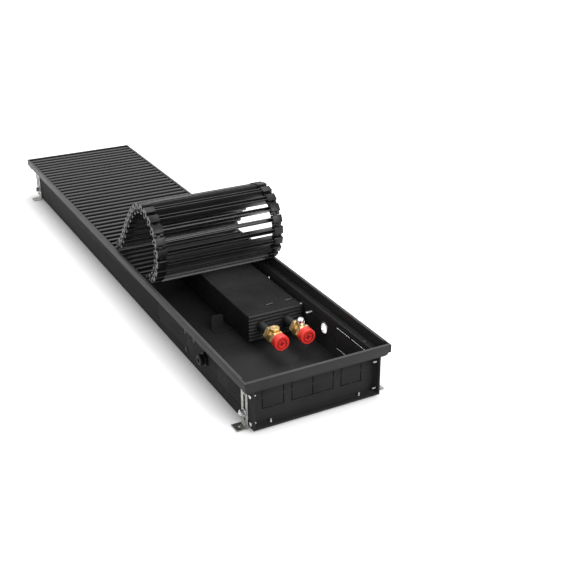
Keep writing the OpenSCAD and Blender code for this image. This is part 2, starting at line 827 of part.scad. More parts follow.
module wall_grommet() {
    lip_r = grommet_hole_r + grommet_lip;
    neck_r = grommet_bore_r + grommet_wall;
    color("#4a4b4d") from_front() translate([inner_x, entry_y, entry_z]) rotate([0, 90, 0])
        rotate_extrude() polygon([
            [grommet_bore_r, -grommet_lip_t], [lip_r, -grommet_lip_t], [lip_r, 0], [neck_r, 0],
            [neck_r, sheet], [lip_r, sheet], [lip_r, sheet + grommet_lip_t],
            [grommet_bore_r, sheet + grommet_lip_t]
        ]);
}

// Feet, drawn for the right side at the front end
slot_top = stud_z + foot_travel + stud_d / 2 + slot_end_gap;
slot_bottom = stud_z - stud_d / 2 - slot_end_gap;
foot_mid = foot_y + foot_w / 2;
module foot() {
    slot_r = stud_d / 2 + slot_gap;
    plate_x = wall_x + foot_gap;
    tab_mid = (foot_t + foot_gap + foot_tab_l) / 2;
    difference() {
        union() {
            translate([plate_x, foot_y, -foot_drop]) cube([foot_t, foot_w, foot_top + foot_drop]);
            translate([plate_x, foot_y, -foot_drop]) cube([foot_tab_l - foot_gap, foot_w, foot_t]);
        }
        for (z = [slot_bottom + slot_r, slot_top - slot_r])
            translate([plate_x - cut, foot_mid, z]) rod_x(slot_r, foot_t + 2 * cut);
        translate([plate_x - cut, foot_mid - slot_r, slot_bottom + slot_r])
            cube([foot_t + 2 * cut, 2 * slot_r, slot_top - slot_bottom - 2 * slot_r]);
        translate([plate_x - cut, foot_mid, eye_z]) rod_x(eye_r, foot_t + 2 * cut);
        translate([wall_x + tab_mid, foot_mid, -foot_drop - cut]) {
            cylinder(h = foot_t + 2 * cut, r = foot_hole_r);
            for (side = [-1, 1]) {
                translate([side * small_hole_x, 0, 0]) cylinder(h = foot_t + 2 * cut, r = small_hole_r);
                translate([0, side * small_hole_y, 0]) cylinder(h = foot_t + 2 * cut, r = small_hole_r);
            }
        }
    }
}
module foot_front_left() {
    color("#a9a8a2") from_front() mirror([1, 0, 0]) foot();
}
module foot_front_right() {
    color("#a9a8a2") from_front() foot();
}
module foot_rear_left() {
    color("#a9a8a2") from_front() rear_end() mirror([1, 0, 0]) foot();
}
module foot_rear_right() {
    color("#a9a8a2") from_front() rear_end() foot();
}
module at_studs() {
    from_front() both_ends() both_sides() translate([inner_x, foot_mid, stud_z]) rotate([0, 90, 0]) children();
}
washer_start = sheet + foot_t + 2 * foot_gap;
lock_start = washer_start + washer_t;
nut_start = lock_start + lock_t;
module foot_studs() {
    color("#b9babc") at_studs() {
        translate([0, 0, -stud_head_t]) cylinder(h = stud_head_t, r = stud_head_r);
        cylinder(h = nut_start + stud_nut_t + stud_end, d = stud_d);
    }
}
// A flat washer and a split spring washer
module foot_washers() {
    color("#c4c5c7") at_studs() difference() {
        union() {
            translate([0, 0, washer_start]) cylinder(h = washer_t, r = washer_r);
            translate([0, 0, lock_start]) cylinder(h = lock_t, r = lock_r);
        }
        translate([0, 0, washer_start - cut]) cylinder(h = washer_t + lock_t + 2 * cut, r = stud_d / 2 + fit);
        translate([0, -lock_split / 2, lock_start]) cube([lock_r + cut, lock_split, lock_t + cut]);
    }
}
module foot_nuts() {
    color("#c4c5c7") at_studs() translate([0, 0, nut_start]) difference() {
        hexagon(stud_nut_af, stud_nut_t);
        translate([0, 0, -cut]) cylinder(h = stud_nut_t + 2 * cut, r = stud_d / 2 + fit);
    }
}

// Grille
// A slat is drawn lying flat, with the middle of its hinge line at the origin and +Y towards the flat part
function bend(k, crown) = k == crown_joint ? crown : roll_bends[k - 1];
function turned(k, crown) = k < 1 ? 0 : turned(k - 1, crown) + bend(k, crown);
function way(angle) = [-cos(angle), sin(angle)];
function hinge_at(k, crown) =
    k < 2 ? [roll_start, hinge_z] : hinge_at(k - 1, crown) + slat_pitch * way(turned(k - 1, crown));
function middle_at(k, crown) = hinge_at(k, crown) + slat_pitch / 2 * way(turned(k, crown));
// Height of the free slat's lowest corner
function tip_z(crown) =
    let (a = turned(rolled_n, crown))
    middle_at(rolled_n, crown)[1] + slat_up * cos(a) - slat_w / 2 * abs(sin(a));
landing_z = hinge_z + slat_up + landing_gap;
function landing_bend(least, most, n) =
    let (mid = (least + most) / 2)
    n == 0 ? mid : tip_z(mid) > landing_z ? landing_bend(mid, most, n - 1) : landing_bend(least, mid, n - 1);
crown_bend = landing_bend(crown_least, crown_most, halvings);
middles = [for (k = [1:rolled_n]) middle_at(k, crown_bend)];
turns = [for (k = [1:rolled_n]) turned(k, crown_bend)];

module slat_section() {
    half = slat_w / 2;
    wall = half - slat_t;
    polygon([
        [-half, -hinge_h], [-wall, -hinge_h], [-wall, slat_up - slat_crown], [wall, slat_up - slat_crown],
        [wall, -hinge_h], [half, -hinge_h], [half, slat_up - slat_chamfer], [half - slat_chamfer, slat_up],
        [-half + slat_chamfer, slat_up], [-half, slat_up - slat_chamfer]
    ]);
}
module slat() {
    along_x(slat_l) slat_section();
}
// Saddle of a link block round the slat's section, with a plug in the slat's hollow
module link_section() {
    half = link_l / 2;
    sole = -hinge_h - link_sole;
    saddle = slat_w / 2 + fit;
    plug = slat_w / 2 - slat_t - fit;
    polygon([
        [-half + link_chamfer, sole], [half - link_chamfer, sole], [half, sole + link_chamfer],
        [half, knuckle_r], [saddle, knuckle_r], [saddle, -hinge_h - fit], [plug, -hinge_h - fit],
        [plug, -hinge_h + plug_h], [-plug, -hinge_h + plug_h], [-plug, -hinge_h - fit],
        [-saddle, -hinge_h - fit], [-saddle, knuckle_r], [-half, knuckle_r], [-half, sole + link_chamfer]
    ]);
}
// Half a knuckle's section, from the block's face out to the hinge at half a pitch
module knuckle_section(bore) {
    difference() {
        union() {
            translate([slat_pitch / 2, 0]) circle(r = knuckle_r);
            translate([link_l / 2 - link_chamfer / 2, -knuckle_r])
                square([(slat_pitch - link_l + link_chamfer) / 2, 2 * knuckle_r]);
        }
        if (bore > 0) translate([slat_pitch / 2, 0]) circle(r = bore);
    }
}
// Two ears towards the flat part carry the moulded pin, one eye towards the free end turns on the next pin
module link_ears(pinned) {
    ear_w = (link_w - eye_w) / 2 - eye_gap;
    for (side = [-1, 1])
        translate([side * (link_w - ear_w) / 2, 0, 0]) along_x(ear_w) knuckle_section(0);
    if (pinned)
        translate([0, slat_pitch / 2, 0]) along_x(link_w - ear_w) circle(r = link_pin_r);
}
module link_eye(bore) {
    mirror([0, 1, 0]) along_x(eye_w) knuckle_section(bore);
}
module at_links() {
    for (side = [-1, 1])
        translate([side * (slat_l - link_w) / 2, 0, 0]) children();
}
module rolled_slat(k) {
    color("#3a3b3d") from_front()
        translate([0, middles[k - 1][0], middles[k - 1][1]]) rotate([-turns[k - 1], 0, 0]) {
            slat();
            at_links() {
                along_x(link_w) link_section();
                link_ears(true);
                if (k < rolled_n) link_eye(link_pin_r + turn_fit);
            }
        }
}
module at_flat_slats() {
    from_front() for (j = [0:flat_n - 1])
        translate([0, roll_start + (j + 1 / 2) * slat_pitch, hinge_z]) {
            $row = j;
            children();
        }
}
module grille_slats() {
    color("#3a3b3d") at_flat_slats() slat();
}
// Only the first link hinges here: the others lie flat and bear the same knuckles
module grille_links() {
    color("#1c1c1d") at_flat_slats() at_links() {
        along_x(link_w) link_section();
        if ($row < flat_n - 1) link_ears(false);
        link_eye($row == 0 ? link_pin_r + turn_fit : 0);
    }
}

casing_tray();
front_end_panel();
rear_end_panel();
rim_left();
rim_right();
rim_front();
rim_rear();
rim_screws();
end_panel_screws();
floor_plate();
side_bolts();
exchanger_fins();
exchanger_end_plates();
exchanger_clips();
exchanger_brackets();
supply_pipe();
return_pipe();
return_bend();
valve_left();
valve_right();
pipe_nuts();
spindle_cap();
air_vent();
vent_screw();
cap_left();
cap_right();
cable_gland();
gland_locknut();
wall_grommet();
foot_studs();
foot_washers();
foot_nuts();
foot_front_left();
foot_front_right();
foot_rear_left();
foot_rear_right();
grille_slats();
grille_links();
for (k = [1:rolled_n])
    rolled_slat(k);
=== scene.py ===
"""Looks of the trench convector heater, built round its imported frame.

The heater's sizes are written in millimetres, and MM or millimetres() turns them into the frame's
metres. The camera, the lamps and the floor are written in metres.
"""
import json
import math

import bmesh
import bpy
from mathutils import Matrix, Vector
from mathutils.geometry import tessellate_polygon


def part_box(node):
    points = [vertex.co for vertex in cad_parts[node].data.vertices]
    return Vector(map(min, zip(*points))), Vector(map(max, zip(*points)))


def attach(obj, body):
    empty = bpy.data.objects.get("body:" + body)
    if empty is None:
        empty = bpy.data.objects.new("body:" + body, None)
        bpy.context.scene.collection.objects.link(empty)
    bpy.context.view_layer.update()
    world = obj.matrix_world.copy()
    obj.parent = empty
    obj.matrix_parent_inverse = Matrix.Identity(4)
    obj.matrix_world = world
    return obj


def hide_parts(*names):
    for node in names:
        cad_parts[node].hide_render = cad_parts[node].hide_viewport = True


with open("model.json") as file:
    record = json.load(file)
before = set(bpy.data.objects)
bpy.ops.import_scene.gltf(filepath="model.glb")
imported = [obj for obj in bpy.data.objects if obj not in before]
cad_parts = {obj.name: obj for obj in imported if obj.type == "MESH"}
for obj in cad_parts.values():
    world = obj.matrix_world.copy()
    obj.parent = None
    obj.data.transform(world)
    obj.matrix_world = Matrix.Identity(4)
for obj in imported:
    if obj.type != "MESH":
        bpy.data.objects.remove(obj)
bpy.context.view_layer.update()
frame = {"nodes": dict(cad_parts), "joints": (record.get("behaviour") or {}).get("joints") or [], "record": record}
NODES = frame["nodes"]
JOINTS = {joint["name"]: joint for joint in frame["joints"]}
BODY_OF = {node: body for body, nodes in frame["record"]["behaviour"]["bodies"].items() for node in nodes}
SLOT_OF = {part["node"]: part["material_slot"] for part in frame["record"]["subparts"]}
MM = 0.001

# Camera, fitted to the rim's corners in the photograph
IMAGE = 580
FOCAL_PIXELS = 975.0
SENSOR = 36.0
CAMERA_PLACE = Vector((-0.6608, -1.7319, 0.8396))
CAMERA_TURN = math.radians(61.56)
CAMERA_DIP = math.radians(25.466)

# Sizes of the heater in millimetres, from the front end of the rim and the underside of the casing
RIM_LENGTH = 1222.0
FOOT_DROP = 5.0
WALL = 114.0
SHEET = 1.25
ROLLED = 22
FLAT = 39
SLAT_PITCH = 19.7
SLAT_LENGTH = 247.0
SLAT_WIDTH = 7.5
SLAT_WALL = 1.3
SLAT_LOW = -7.5
SLAT_TOP = 9.5
SLAT_CROWN = 2.0
HINGE_Z = 80.0
FIRST_SLAT = (RIM_LENGTH - (ROLLED + FLAT - 1) * SLAT_PITCH) / 2
FIN_WIDTH = 106.0
FIN_HEIGHT = 51.5
FIN_THICK = 0.35
CAD_FIN_THICK = 0.5
FIN_PITCH = 5.0
FIN_LOW = 6.5
FIN_HOLE_R = 7.6
FIN_HOLE_SIDES = 16
PIPE_Z = 38.0
PIPE_X = (23.0, 74.0)
PIPE_R = 7.5
PIPE_BORE = 6.5
BEND_SOCKET = 13.2
BEND_SOCKET_R = 8.7
BEND_SOCKET_BORE = 7.6
BEND_NECK_R = 7.98
BEND_STEPS = 24
BEND_SIDES = 32
HEX_ACROSS = 26.5
CAP_Y = 169.0
NECK_Y = CAP_Y + 28.0
NECK_TOP = PIPE_Z + 13.55
ENTRY_Y = 181.0
ENTRY_Z = 40.0
STUD_Y = 32.25
STUD_Z = 20.5


def millimetres(x, y, z):
    """Point of the shared frame from millimetres off the rim's front end and the underside"""
    return Vector((x, y - RIM_LENGTH / 2, z + FOOT_DROP)) * MM


def both_ends(inset):
    """The same distance from the front end of the rim and from its rear end"""
    return inset, RIM_LENGTH - inset


# Finishes: sizes of their spots, offsets that keep their patterns apart, and the band of painted highlight at a
# top edge
CLOUD_SIZE = 60
PLASTIC_CLOUD_SIZE = 12
SPECKLE_SHARE = 2.5
SPECKLE_SEED, PEEL_SEED, PLASTIC_SEED = 3.0, 7.0, 5.0
EDGE_START, EDGE_STOP = 0.5, 0.2


def new_finish(name):
    finish = bpy.data.materials.new(name)
    finish.use_nodes = True
    tree = finish.node_tree
    shader = tree.nodes["Principled BSDF"]
    place = tree.nodes.new("ShaderNodeTexCoord")
    return finish, tree, shader, place.outputs["Object"]


def grain(tree, place, size, detail=3.0, stretch=(1, 1, 1), seed=0.0):
    """Noise whose spots are about size millimetres wide, stretched along the frame's axes"""
    mapping = tree.nodes.new("ShaderNodeMapping")
    mapping.inputs["Scale"].default_value = [1 / part for part in stretch]
    mapping.inputs["Location"].default_value = (seed, seed, seed)
    noise = tree.nodes.new("ShaderNodeTexNoise")
    noise.inputs["Scale"].default_value = 1 / (size * MM)
    noise.inputs["Detail"].default_value = detail
    tree.links.new(place, mapping.inputs["Vector"])
    tree.links.new(mapping.outputs["Vector"], noise.inputs["Vector"])
    return noise.outputs["Fac"]


def between(tree, value, low, high, start=0.3, stop=0.7):
    span = tree.nodes.new("ShaderNodeMapRange")
    for name, number in (("From Min", start), ("From Max", stop), ("To Min", low), ("To Max", high)):
        span.inputs[name].default_value = number
    tree.links.new(value, span.inputs["Value"])
    return span.outputs["Result"]


def blend_colours(tree, share, first, second):
    mix = tree.nodes.new("ShaderNodeMix")
    mix.data_type = "RGBA"
    mix.inputs["A"].default_value = (*first, 1)
    mix.inputs["B"].default_value = (*second, 1)
    tree.links.new(share, mix.inputs["Factor"])
    return mix.outputs["Result"]


def relief(tree, shader, height, depth):
    bump = tree.nodes.new("ShaderNodeBump")
    bump.inputs["Strength"].default_value = 1.0
    bump.inputs["Distance"].default_value = depth * MM
    tree.links.new(height, bump.inputs["Height"])
    tree.links.new(bump.outputs["Normal"], shader.inputs["Normal"])


def paint_highlight_on_top(tree, place, colour, height, gain):
    """The colour, times gain at the top of the piece: a painted highlight along its top edge, where light catches
    it
    """
    split = tree.nodes.new("ShaderNodeSeparateXYZ")
    tree.links.new(place, split.inputs["Vector"])
    highlighted = tree.nodes.new("ShaderNodeVectorMath")
    highlighted.operation = "SCALE"
    tree.links.new(colour, highlighted.inputs[0])
    share = between(tree, split.outputs["Z"], 1.0, gain,
                    start=height - EDGE_START * MM, stop=height - EDGE_STOP * MM)
    tree.links.new(share, highlighted.inputs["Scale"])
    return highlighted.outputs["Vector"]


def powder_coat(name, dark, light, roughness, grain_size, depth, gloss=0.5, top=None):
    """Baked powder: orange peel, a finer sparkle in the gloss, and slow clouds in the tone; top adds a painted
    highlight along the top edge
    """
    finish, tree, shader, place = new_finish(name)
    clouds = grain(tree, place, CLOUD_SIZE, detail=4.0)
    colour = blend_colours(tree, between(tree, clouds, 0, 1), dark, light)
    if top:
        colour = paint_highlight_on_top(tree, place, colour, *top)
    tree.links.new(colour, shader.inputs["Base Color"])
    speckle = grain(tree, place, grain_size * SPECKLE_SHARE, detail=2.0, seed=SPECKLE_SEED)
    tree.links.new(between(tree, speckle, roughness - 0.06, roughness + 0.08), shader.inputs["Roughness"])
    relief(tree, shader, grain(tree, place, grain_size, detail=2.0, seed=PEEL_SEED), depth)
    shader.inputs["Specular IOR Level"].default_value = gloss
    return finish


def bare_metal(name, dark, light, roughness, stretch, line_size, depth, spangle=0.0):
    """Metal with fine tool marks along one axis, and crystal spangle where it is galvanised"""
    finish, tree, shader, place = new_finish(name)
    marks = grain(tree, place, line_size, detail=5.0, stretch=stretch)
    share = between(tree, marks, 0, 1)
    if spangle:
        cells = tree.nodes.new("ShaderNodeTexVoronoi")
        cells.inputs["Scale"].default_value = 1 / (spangle * MM)
        tree.links.new(place, cells.inputs["Vector"])
        split = tree.nodes.new("ShaderNodeSeparateColor")
        tree.links.new(cells.outputs["Color"], split.inputs["Color"])
        share = between(tree, split.outputs["Red"], 0, 1, start=0.0, stop=1.0)
    tree.links.new(blend_colours(tree, share, dark, light), shader.inputs["Base Color"])
    tree.links.new(between(tree, share, roughness + 0.08, roughness - 0.05, start=0.0, stop=1.0),
                   shader.inputs["Roughness"])
    relief(tree, shader, marks, depth)
    shader.inputs["Metallic"].default_value = 1.0
    return finish


def moulded_plastic(name, dark, light, roughness, grain_size, depth, coat=0.0, gloss=0.5):
    """Moulded surface with a fine erosion grain, and a clear coat where the plastic is polished"""
    finish, tree, shader, place = new_finish(name)
    clouds = grain(tree, place, PLASTIC_CLOUD_SIZE)
    tree.links.new(blend_colours(tree, between(tree, clouds, 0, 1), dark, light), shader.inputs["Base Color"])
    fine = grain(tree, place, grain_size, detail=2.0, seed=PLASTIC_SEED)
    tree.links.new(between(tree, fine, roughness - 0.05, roughness + 0.07), shader.inputs["Roughness"])
    relief(tree, shader, fine, depth)
    shader.inputs["Specular IOR Level"].default_value = gloss
    shader.inputs["Coat Weight"].default_value = coat
    shader.inputs["Coat Roughness"].default_value = 0.2
    return finish


# Each finish: its name, its darkest and lightest tone, and its roughness. Coats and plastics then
# have the size of their grain and its depth, metals the stretch, width and depth of their tool marks.
FINISHES = {
    "casing": powder_coat("black_powder_coat", (0.0235, 0.0236, 0.0240), (0.0295, 0.0296, 0.0301),
        0.70, 0.9, 0.010, 0.05),
    # The rim's top edge is lightened three times: a painted highlight
    "rim": powder_coat("anthracite_powder_coat", (0.021, 0.021, 0.0214), (0.027, 0.027, 0.0274),
        0.42, 0.7, 0.006, 0.12, top=(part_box("rim_front")[1].z, 3.0)),
    "plate": powder_coat("bay_plate_coat", (0.0165, 0.0166, 0.0169), (0.0220, 0.0221, 0.0225),
        0.55, 0.9, 0.008, 0.20),
    "slat": powder_coat("anodised_slat_black", (0.012, 0.012, 0.0125), (0.018, 0.018, 0.0185),
        0.33, 0.6, 0.004),
    "link": moulded_plastic("black_link_plastic", (0.004, 0.004, 0.0042), (0.007, 0.007, 0.0073),
        0.32, 0.5, 0.004, gloss=0.28),
    "exchanger": powder_coat("matt_black_dip_coat", (0.013, 0.0135, 0.0145), (0.020, 0.0205, 0.0215),
        0.48, 1.4, 0.02),
    "fin": powder_coat("coated_fin_sheet", (0.028, 0.0285, 0.030), (0.044, 0.0445, 0.046),
        0.50, 1.2, 0.01),
    "brass": bare_metal("turned_brass", (0.80, 0.55, 0.23), (0.93, 0.70, 0.36),
        0.36, (6, 1, 6), 0.5, 0.0015),
    "chrome": bare_metal("polished_chrome", (0.62, 0.63, 0.65), (0.74, 0.75, 0.77),
        0.10, (4, 4, 1), 1.5, 0.0015),
    "red_plastic": moulded_plastic("red_cap_plastic", (0.94, 0.044, 0.034), (1.0, 0.062, 0.048),
        0.36, 0.6, 0.004, 0.2),
    # Darker red for the caps' ring and cross: painted shade in their relief
    "red_painted_shade": moulded_plastic("red_cap_painted_shade", (0.30, 0.010, 0.009), (0.38, 0.016, 0.014),
        0.55, 0.6, 0.004),
    # Near-black finish of the strips behind the break-out slots: painted shade
    "web": powder_coat("bare_web_black", (0.0030, 0.0030, 0.0031), (0.0045, 0.0045, 0.0046),
        0.80, 0.9, 0.010, 0.05),
    "black_plastic": moulded_plastic("black_gland_plastic", (0.004, 0.004, 0.0041), (0.007, 0.007, 0.0072),
        0.46, 0.5, 0.005, gloss=0.15),
    "bright_zinc": bare_metal("bright_zinc", (0.44, 0.45, 0.46), (0.62, 0.63, 0.64),
        0.26, (3, 3, 1), 0.6, 0.003),
    "dark_zinc": bare_metal("dark_zinc", (0.16, 0.16, 0.17), (0.26, 0.26, 0.27),
        0.34, (3, 3, 1), 0.6, 0.003),
    "black_zinc": bare_metal("black_zinc", (0.030, 0.030, 0.032), (0.060, 0.060, 0.062),
        0.36, (3, 3, 1), 0.6, 0.003),
    "foot_steel": bare_metal("galvanised_sheet", (0.22, 0.22, 0.21), (0.42, 0.42, 0.40),
        0.34, (1, 1, 8), 0.8, 0.003, spangle=5.0),
}


# Mesh tools: the angle of a sharp edge, and how far and how steeply the corners of nuts are turned
SHARP_ANGLE = 32.0
TURNED_SHARE = 0.985
TURNED_SLOPE = math.tan(math.radians(30))
UPRIGHT = Matrix.Identity(4)


def shade(form, angle):
    """Smooth faces, with a sharp edge wherever the surface turns by more than the angle"""
    limit = math.radians(angle)
    for face in form.faces:
        face.smooth = True
    for edge in form.edges:
        edge.smooth = len(edge.link_faces) == 2 and edge.calc_face_angle(0.0) < limit


def as_mesh(form, name, outward=True, angle=SHARP_ANGLE):
    """The form as a shaded mesh; the form is used up"""
    if outward:
        bmesh.ops.recalc_face_normals(form, faces=form.faces)
    shade(form, angle)
    mesh = bpy.data.meshes.new(name)
    form.to_mesh(mesh)
    form.free()
    return mesh


def finish_piece(mesh, name, slot, body, replaced=(), finish=None):
    """An object at the origin that carries its finish and rides on its body.
    finish names a finish other than the one of the slot."""
    piece = bpy.data.objects.new(name, mesh)
    bpy.context.scene.collection.objects.link(piece)
    mesh.materials.clear()
    mesh.materials.append(FINISHES[finish or slot])
    for face in mesh.polygons:
        face.material_index = 0
    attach(piece, body)
    if replaced:
        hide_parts(*replaced)


def ring_point(form, around, radius, turn, height):
    point = Vector((radius * math.cos(turn), radius * math.sin(turn), height))
    return form.verts.new(around @ (point * MM))


def join_rings(form, rings, closed):
    """Faces between neighbouring rings of vertices; a ring of one vertex is a pole"""
    count = max(len(ring) for ring in rings)
    for low, high in list(zip(rings, rings[1:])) + ([(rings[-1], rings[0])] if closed else []):
        for i in range(count):
            j = (i + 1) % count
            corners = [low[i % len(low)], low[j % len(low)], high[j % len(high)], high[i % len(high)]]
            corners = [v for n, v in enumerate(corners) if v not in corners[:n]]
            if len(corners) > 2:
                form.faces.new(corners)


def lathe(form, profile, around, count=64, closed=False, wave=None):
    """Turns a profile of (radius, height) millimetres round the Z axis of the matrix around.
    wave gives a share of the radius at a turn, for knurls; closed joins the last point to the first."""
    rings = []
    for radius, height in profile:
        ring = []
        for i in range(count if radius else 1):
            turn = 2 * math.pi * i / count
            share = wave(turn, radius, height) if wave else 1
            ring.append(ring_point(form, around, radius * share, turn, height))
        rings.append(ring)
    join_rings(form, rings, closed)


def hexagon(form, across, length, bore, around, count=72, first=0.0):
    """A nut with turned corners from height first to first + length; None stands for its six flats"""
    rim = across / 2 * TURNED_SHARE
    levels = [(bore, "low"), (rim, "low"), (None, "low"), (None, "high"), (rim, "high"), (bore, "high")]
    rings = []
    for radius, end in levels:
        ring = []
        for i in range(count):
            turn = 2 * math.pi * i / count
            flat = across / 2 / math.cos((turn + math.pi / 6) % (math.pi / 3) - math.pi / 6)
            r = flat if radius is None else min(radius, flat)
            cut = max(0.0, flat - rim) * TURNED_SLOPE if radius is None else 0.0
            height = first + cut if end == "low" else first + length - cut
            ring.append(ring_point(form, around, r, turn, height))
        rings.append(ring)
    join_rings(form, rings, closed=True)


def extrude_outline(form, outline, low, high, put):
    """A solid from a flat outline; put turns (u, v, depth) into a point in millimetres"""
    ends = [[form.verts.new(put(u, v, depth) * MM) for u, v in outline] for depth in (low, high)]
    form.faces.new(ends[0][::-1])
    form.faces.new(ends[1])
    for i in range(len(outline)):
        j = (i + 1) % len(outline)
        form.faces.new((ends[0][i], ends[0][j], ends[1][j], ends[1][i]))


def rounded(outline, radii, steps=4):
    """The outline with each corner drawn as an arc of its own radius"""
    points = []
    total = len(outline)
    for i, (corner, radius) in enumerate(zip(outline, radii)):
        here = Vector(corner)
        back = (Vector(outline[i - 1]) - here).normalized()
        ahead = (Vector(outline[(i + 1) % total]) - here).normalized()
        if radius <= 0:
            points.append((here.x, here.y))
            continue
        half = back.angle(ahead) / 2
        reach = radius / math.tan(half)
        start, stop = here + back * reach, here + ahead * reach
        centre = here + (back + ahead).normalized() * (radius / math.sin(half))
        a, b = start - centre, stop - centre
        sweep = a.angle_signed(b)
        for k in range(steps + 1):
            turned = a.copy()
            turned.rotate(Matrix.Rotation(-sweep * k / steps, 2))
            points.append(((centre + turned).x, (centre + turned).y))
    return points


def along(direction):
    """Matrix whose Z axis points along the direction"""
    return Vector(direction).to_track_quat("Z", "Y").to_matrix().to_4x4()


def at(place, direction=(0, 0, 1)):
    return Matrix.Translation(place) @ along(direction)


def cross_outline(wide, long):
    half, reach = wide / 2, long / 2
    return [(half, half), (half, reach), (-half, reach), (-half, half), (-reach, half), (-reach, -half),
            (-half, -half), (-half, -reach), (half, -reach), (half, -half), (reach, -half), (reach, half)]


def recessed_top(form, ring, top, cross, depth):
    """Closes a ring of vertices with a flat top that has a tapered cross recess"""
    arms = cross_outline(*cross)
    rim = [form.verts.new(Vector((u, v, top)) * MM) for u, v in arms]
    floor = [form.verts.new(Vector((u * 0.8, v * 0.8, top - depth)) * MM) for u, v in arms]
    flat = [[v.co.xy.to_3d() for v in ring], [v.co.xy.to_3d() for v in rim]]
    verts = ring + rim
    for corners in tessellate_polygon(flat):
        form.faces.new([verts[i] for i in corners])
    for i in range(len(arms)):
        j = (i + 1) % len(arms)
        form.faces.new((rim[i], rim[j], floor[j], floor[i]))
    form.faces.new(floor)


def screw_mesh(name, profile, top, cross, depth, count=24):
    """A screw whose head looks along +Z; the profile runs from the tip up to the edge of its flat top"""
    form = bmesh.new()
    lathe(form, profile, UPRIGHT, count)
    recessed_top(form, list(form.verts)[-count:], top, cross, depth)
    return as_mesh(form, name)


# Geometry Nodes
def add_tree(name, sockets):
    tree = bpy.data.node_groups.new(name, "GeometryNodeTree")
    tree.interface.new_socket("Geometry", in_out="INPUT", socket_type="NodeSocketGeometry")
    for label, kind in sockets:
        tree.interface.new_socket(label, in_out="INPUT", socket_type=kind)
    tree.interface.new_socket("Geometry", in_out="OUTPUT", socket_type="NodeSocketGeometry")
    return tree, tree.nodes.new("NodeGroupInput"), tree.nodes.new("NodeGroupOutput")


def close_tree(tree, instances, given, result):
    """Every tree ends in real geometry with its finish set"""
    real = tree.nodes.new("GeometryNodeRealizeInstances")
    coat = tree.nodes.new("GeometryNodeSetMaterial")
    tree.links.new(instances.outputs["Instances"], real.inputs["Geometry"])
    tree.links.new(real.outputs["Geometry"], coat.inputs["Geometry"])
    tree.links.new(given.outputs["Finish"], coat.inputs["Material"])
    tree.links.new(coat.outputs["Geometry"], result.inputs["Geometry"])


def row_tree():
    """Repeats the piece that it is given, Count times, from Start by Step, each turned by Tilt about X"""
    tree, given, result = add_tree("row_of_pieces", [
        ("Count", "NodeSocketInt"), ("Start", "NodeSocketVector"), ("Step", "NodeSocketVector"),
        ("Tilt", "NodeSocketFloat"), ("Finish", "NodeSocketMaterial")])
    line = tree.nodes.new("GeometryNodeMeshLine")
    line.mode = "OFFSET"
    tilt = tree.nodes.new("ShaderNodeCombineXYZ")
    turn = tree.nodes.new("FunctionNodeEulerToRotation")
    copies = tree.nodes.new("GeometryNodeInstanceOnPoints")
    tree.links.new(given.outputs["Count"], line.inputs["Count"])
    tree.links.new(given.outputs["Start"], line.inputs["Start Location"])
    tree.links.new(given.outputs["Step"], line.inputs["Offset"])
    tree.links.new(given.outputs["Tilt"], tilt.inputs["X"])
    tree.links.new(tilt.outputs["Vector"], turn.inputs["Euler"])
    tree.links.new(line.outputs["Mesh"], copies.inputs["Points"])
    tree.links.new(given.outputs["Geometry"], copies.inputs["Instance"])
    tree.links.new(turn.outputs["Rotation"], copies.inputs["Rotation"])
    close_tree(tree, copies, given, result)
    return tree


def places_tree():
    """Puts Piece on each point that it is given, turned by the point's own attribute turn"""
    tree, given, result = add_tree("fasteners_at_places", [
        ("Piece", "NodeSocketObject"), ("Finish", "NodeSocketMaterial")])
    info = tree.nodes.new("GeometryNodeObjectInfo")
    heading = tree.nodes.new("GeometryNodeInputNamedAttribute")
    heading.data_type = "FLOAT_VECTOR"
    heading.inputs["Name"].default_value = "turn"
    turn = tree.nodes.new("FunctionNodeEulerToRotation")
    copies = tree.nodes.new("GeometryNodeInstanceOnPoints")
    tree.links.new(given.outputs["Piece"], info.inputs["Object"])
    tree.links.new(given.outputs["Geometry"], copies.inputs["Points"])
    tree.links.new(info.outputs["Geometry"], copies.inputs["Instance"])
    tree.links.new(heading.outputs["Attribute"], turn.inputs["Euler"])
    tree.links.new(turn.outputs["Rotation"], copies.inputs["Rotation"])
    close_tree(tree, copies, given, result)
    return tree


ROW = row_tree()
PLACES = places_tree()


def run_tree(mesh, tree, settings):
    """The tree's result as a plain mesh; the working object is removed"""
    worker = bpy.data.objects.new("worker", mesh)
    bpy.context.scene.collection.objects.link(worker)
    modifier = worker.modifiers.new("repeat", "NODES")
    modifier.node_group = tree
    for item in tree.interface.items_tree:
        if item.in_out == "INPUT" and item.name in settings:
            modifier[item.identifier] = settings[item.name]
    graph = bpy.context.evaluated_depsgraph_get()
    made = bpy.data.meshes.new_from_object(worker.evaluated_get(graph), depsgraph=graph)
    worker.modifiers.remove(modifier)
    bpy.data.objects.remove(worker)
    return made


def row(mesh, name, slot, body, count, start, step=(0, 0, 0), tilt=0.0, replaced=(), finish=None):
    """count copies of the mesh as one piece, from start by step in metres, tilted about X"""
    made = run_tree(mesh, ROW, {"Count": count, "Start": start, "Step": step, "Tilt": tilt,
                                "Finish": FINISHES[finish or slot]})
    finish_piece(made, name, slot, body, replaced, finish)


def fasteners(mesh, name, slot, body, places, replaced=(), finish=None):
    """places: pairs of a point and the direction in which the head looks"""
    points = bpy.data.meshes.new("points")
    points.from_pydata([list(point) for point, _ in places], [], [])
    turn = points.attributes.new("turn", "FLOAT_VECTOR", "POINT")
    for i, (_, direction) in enumerate(places):
        turn.data[i].vector = along(direction).to_euler()
    pattern = bpy.data.objects.new("pattern", mesh)
    bpy.context.scene.collection.objects.link(pattern)
    made = run_tree(points, PLACES, {"Piece": pattern, "Finish": FINISHES[finish or slot]})
    bpy.data.objects.remove(pattern)
    finish_piece(made, name, slot, body, replaced, finish)


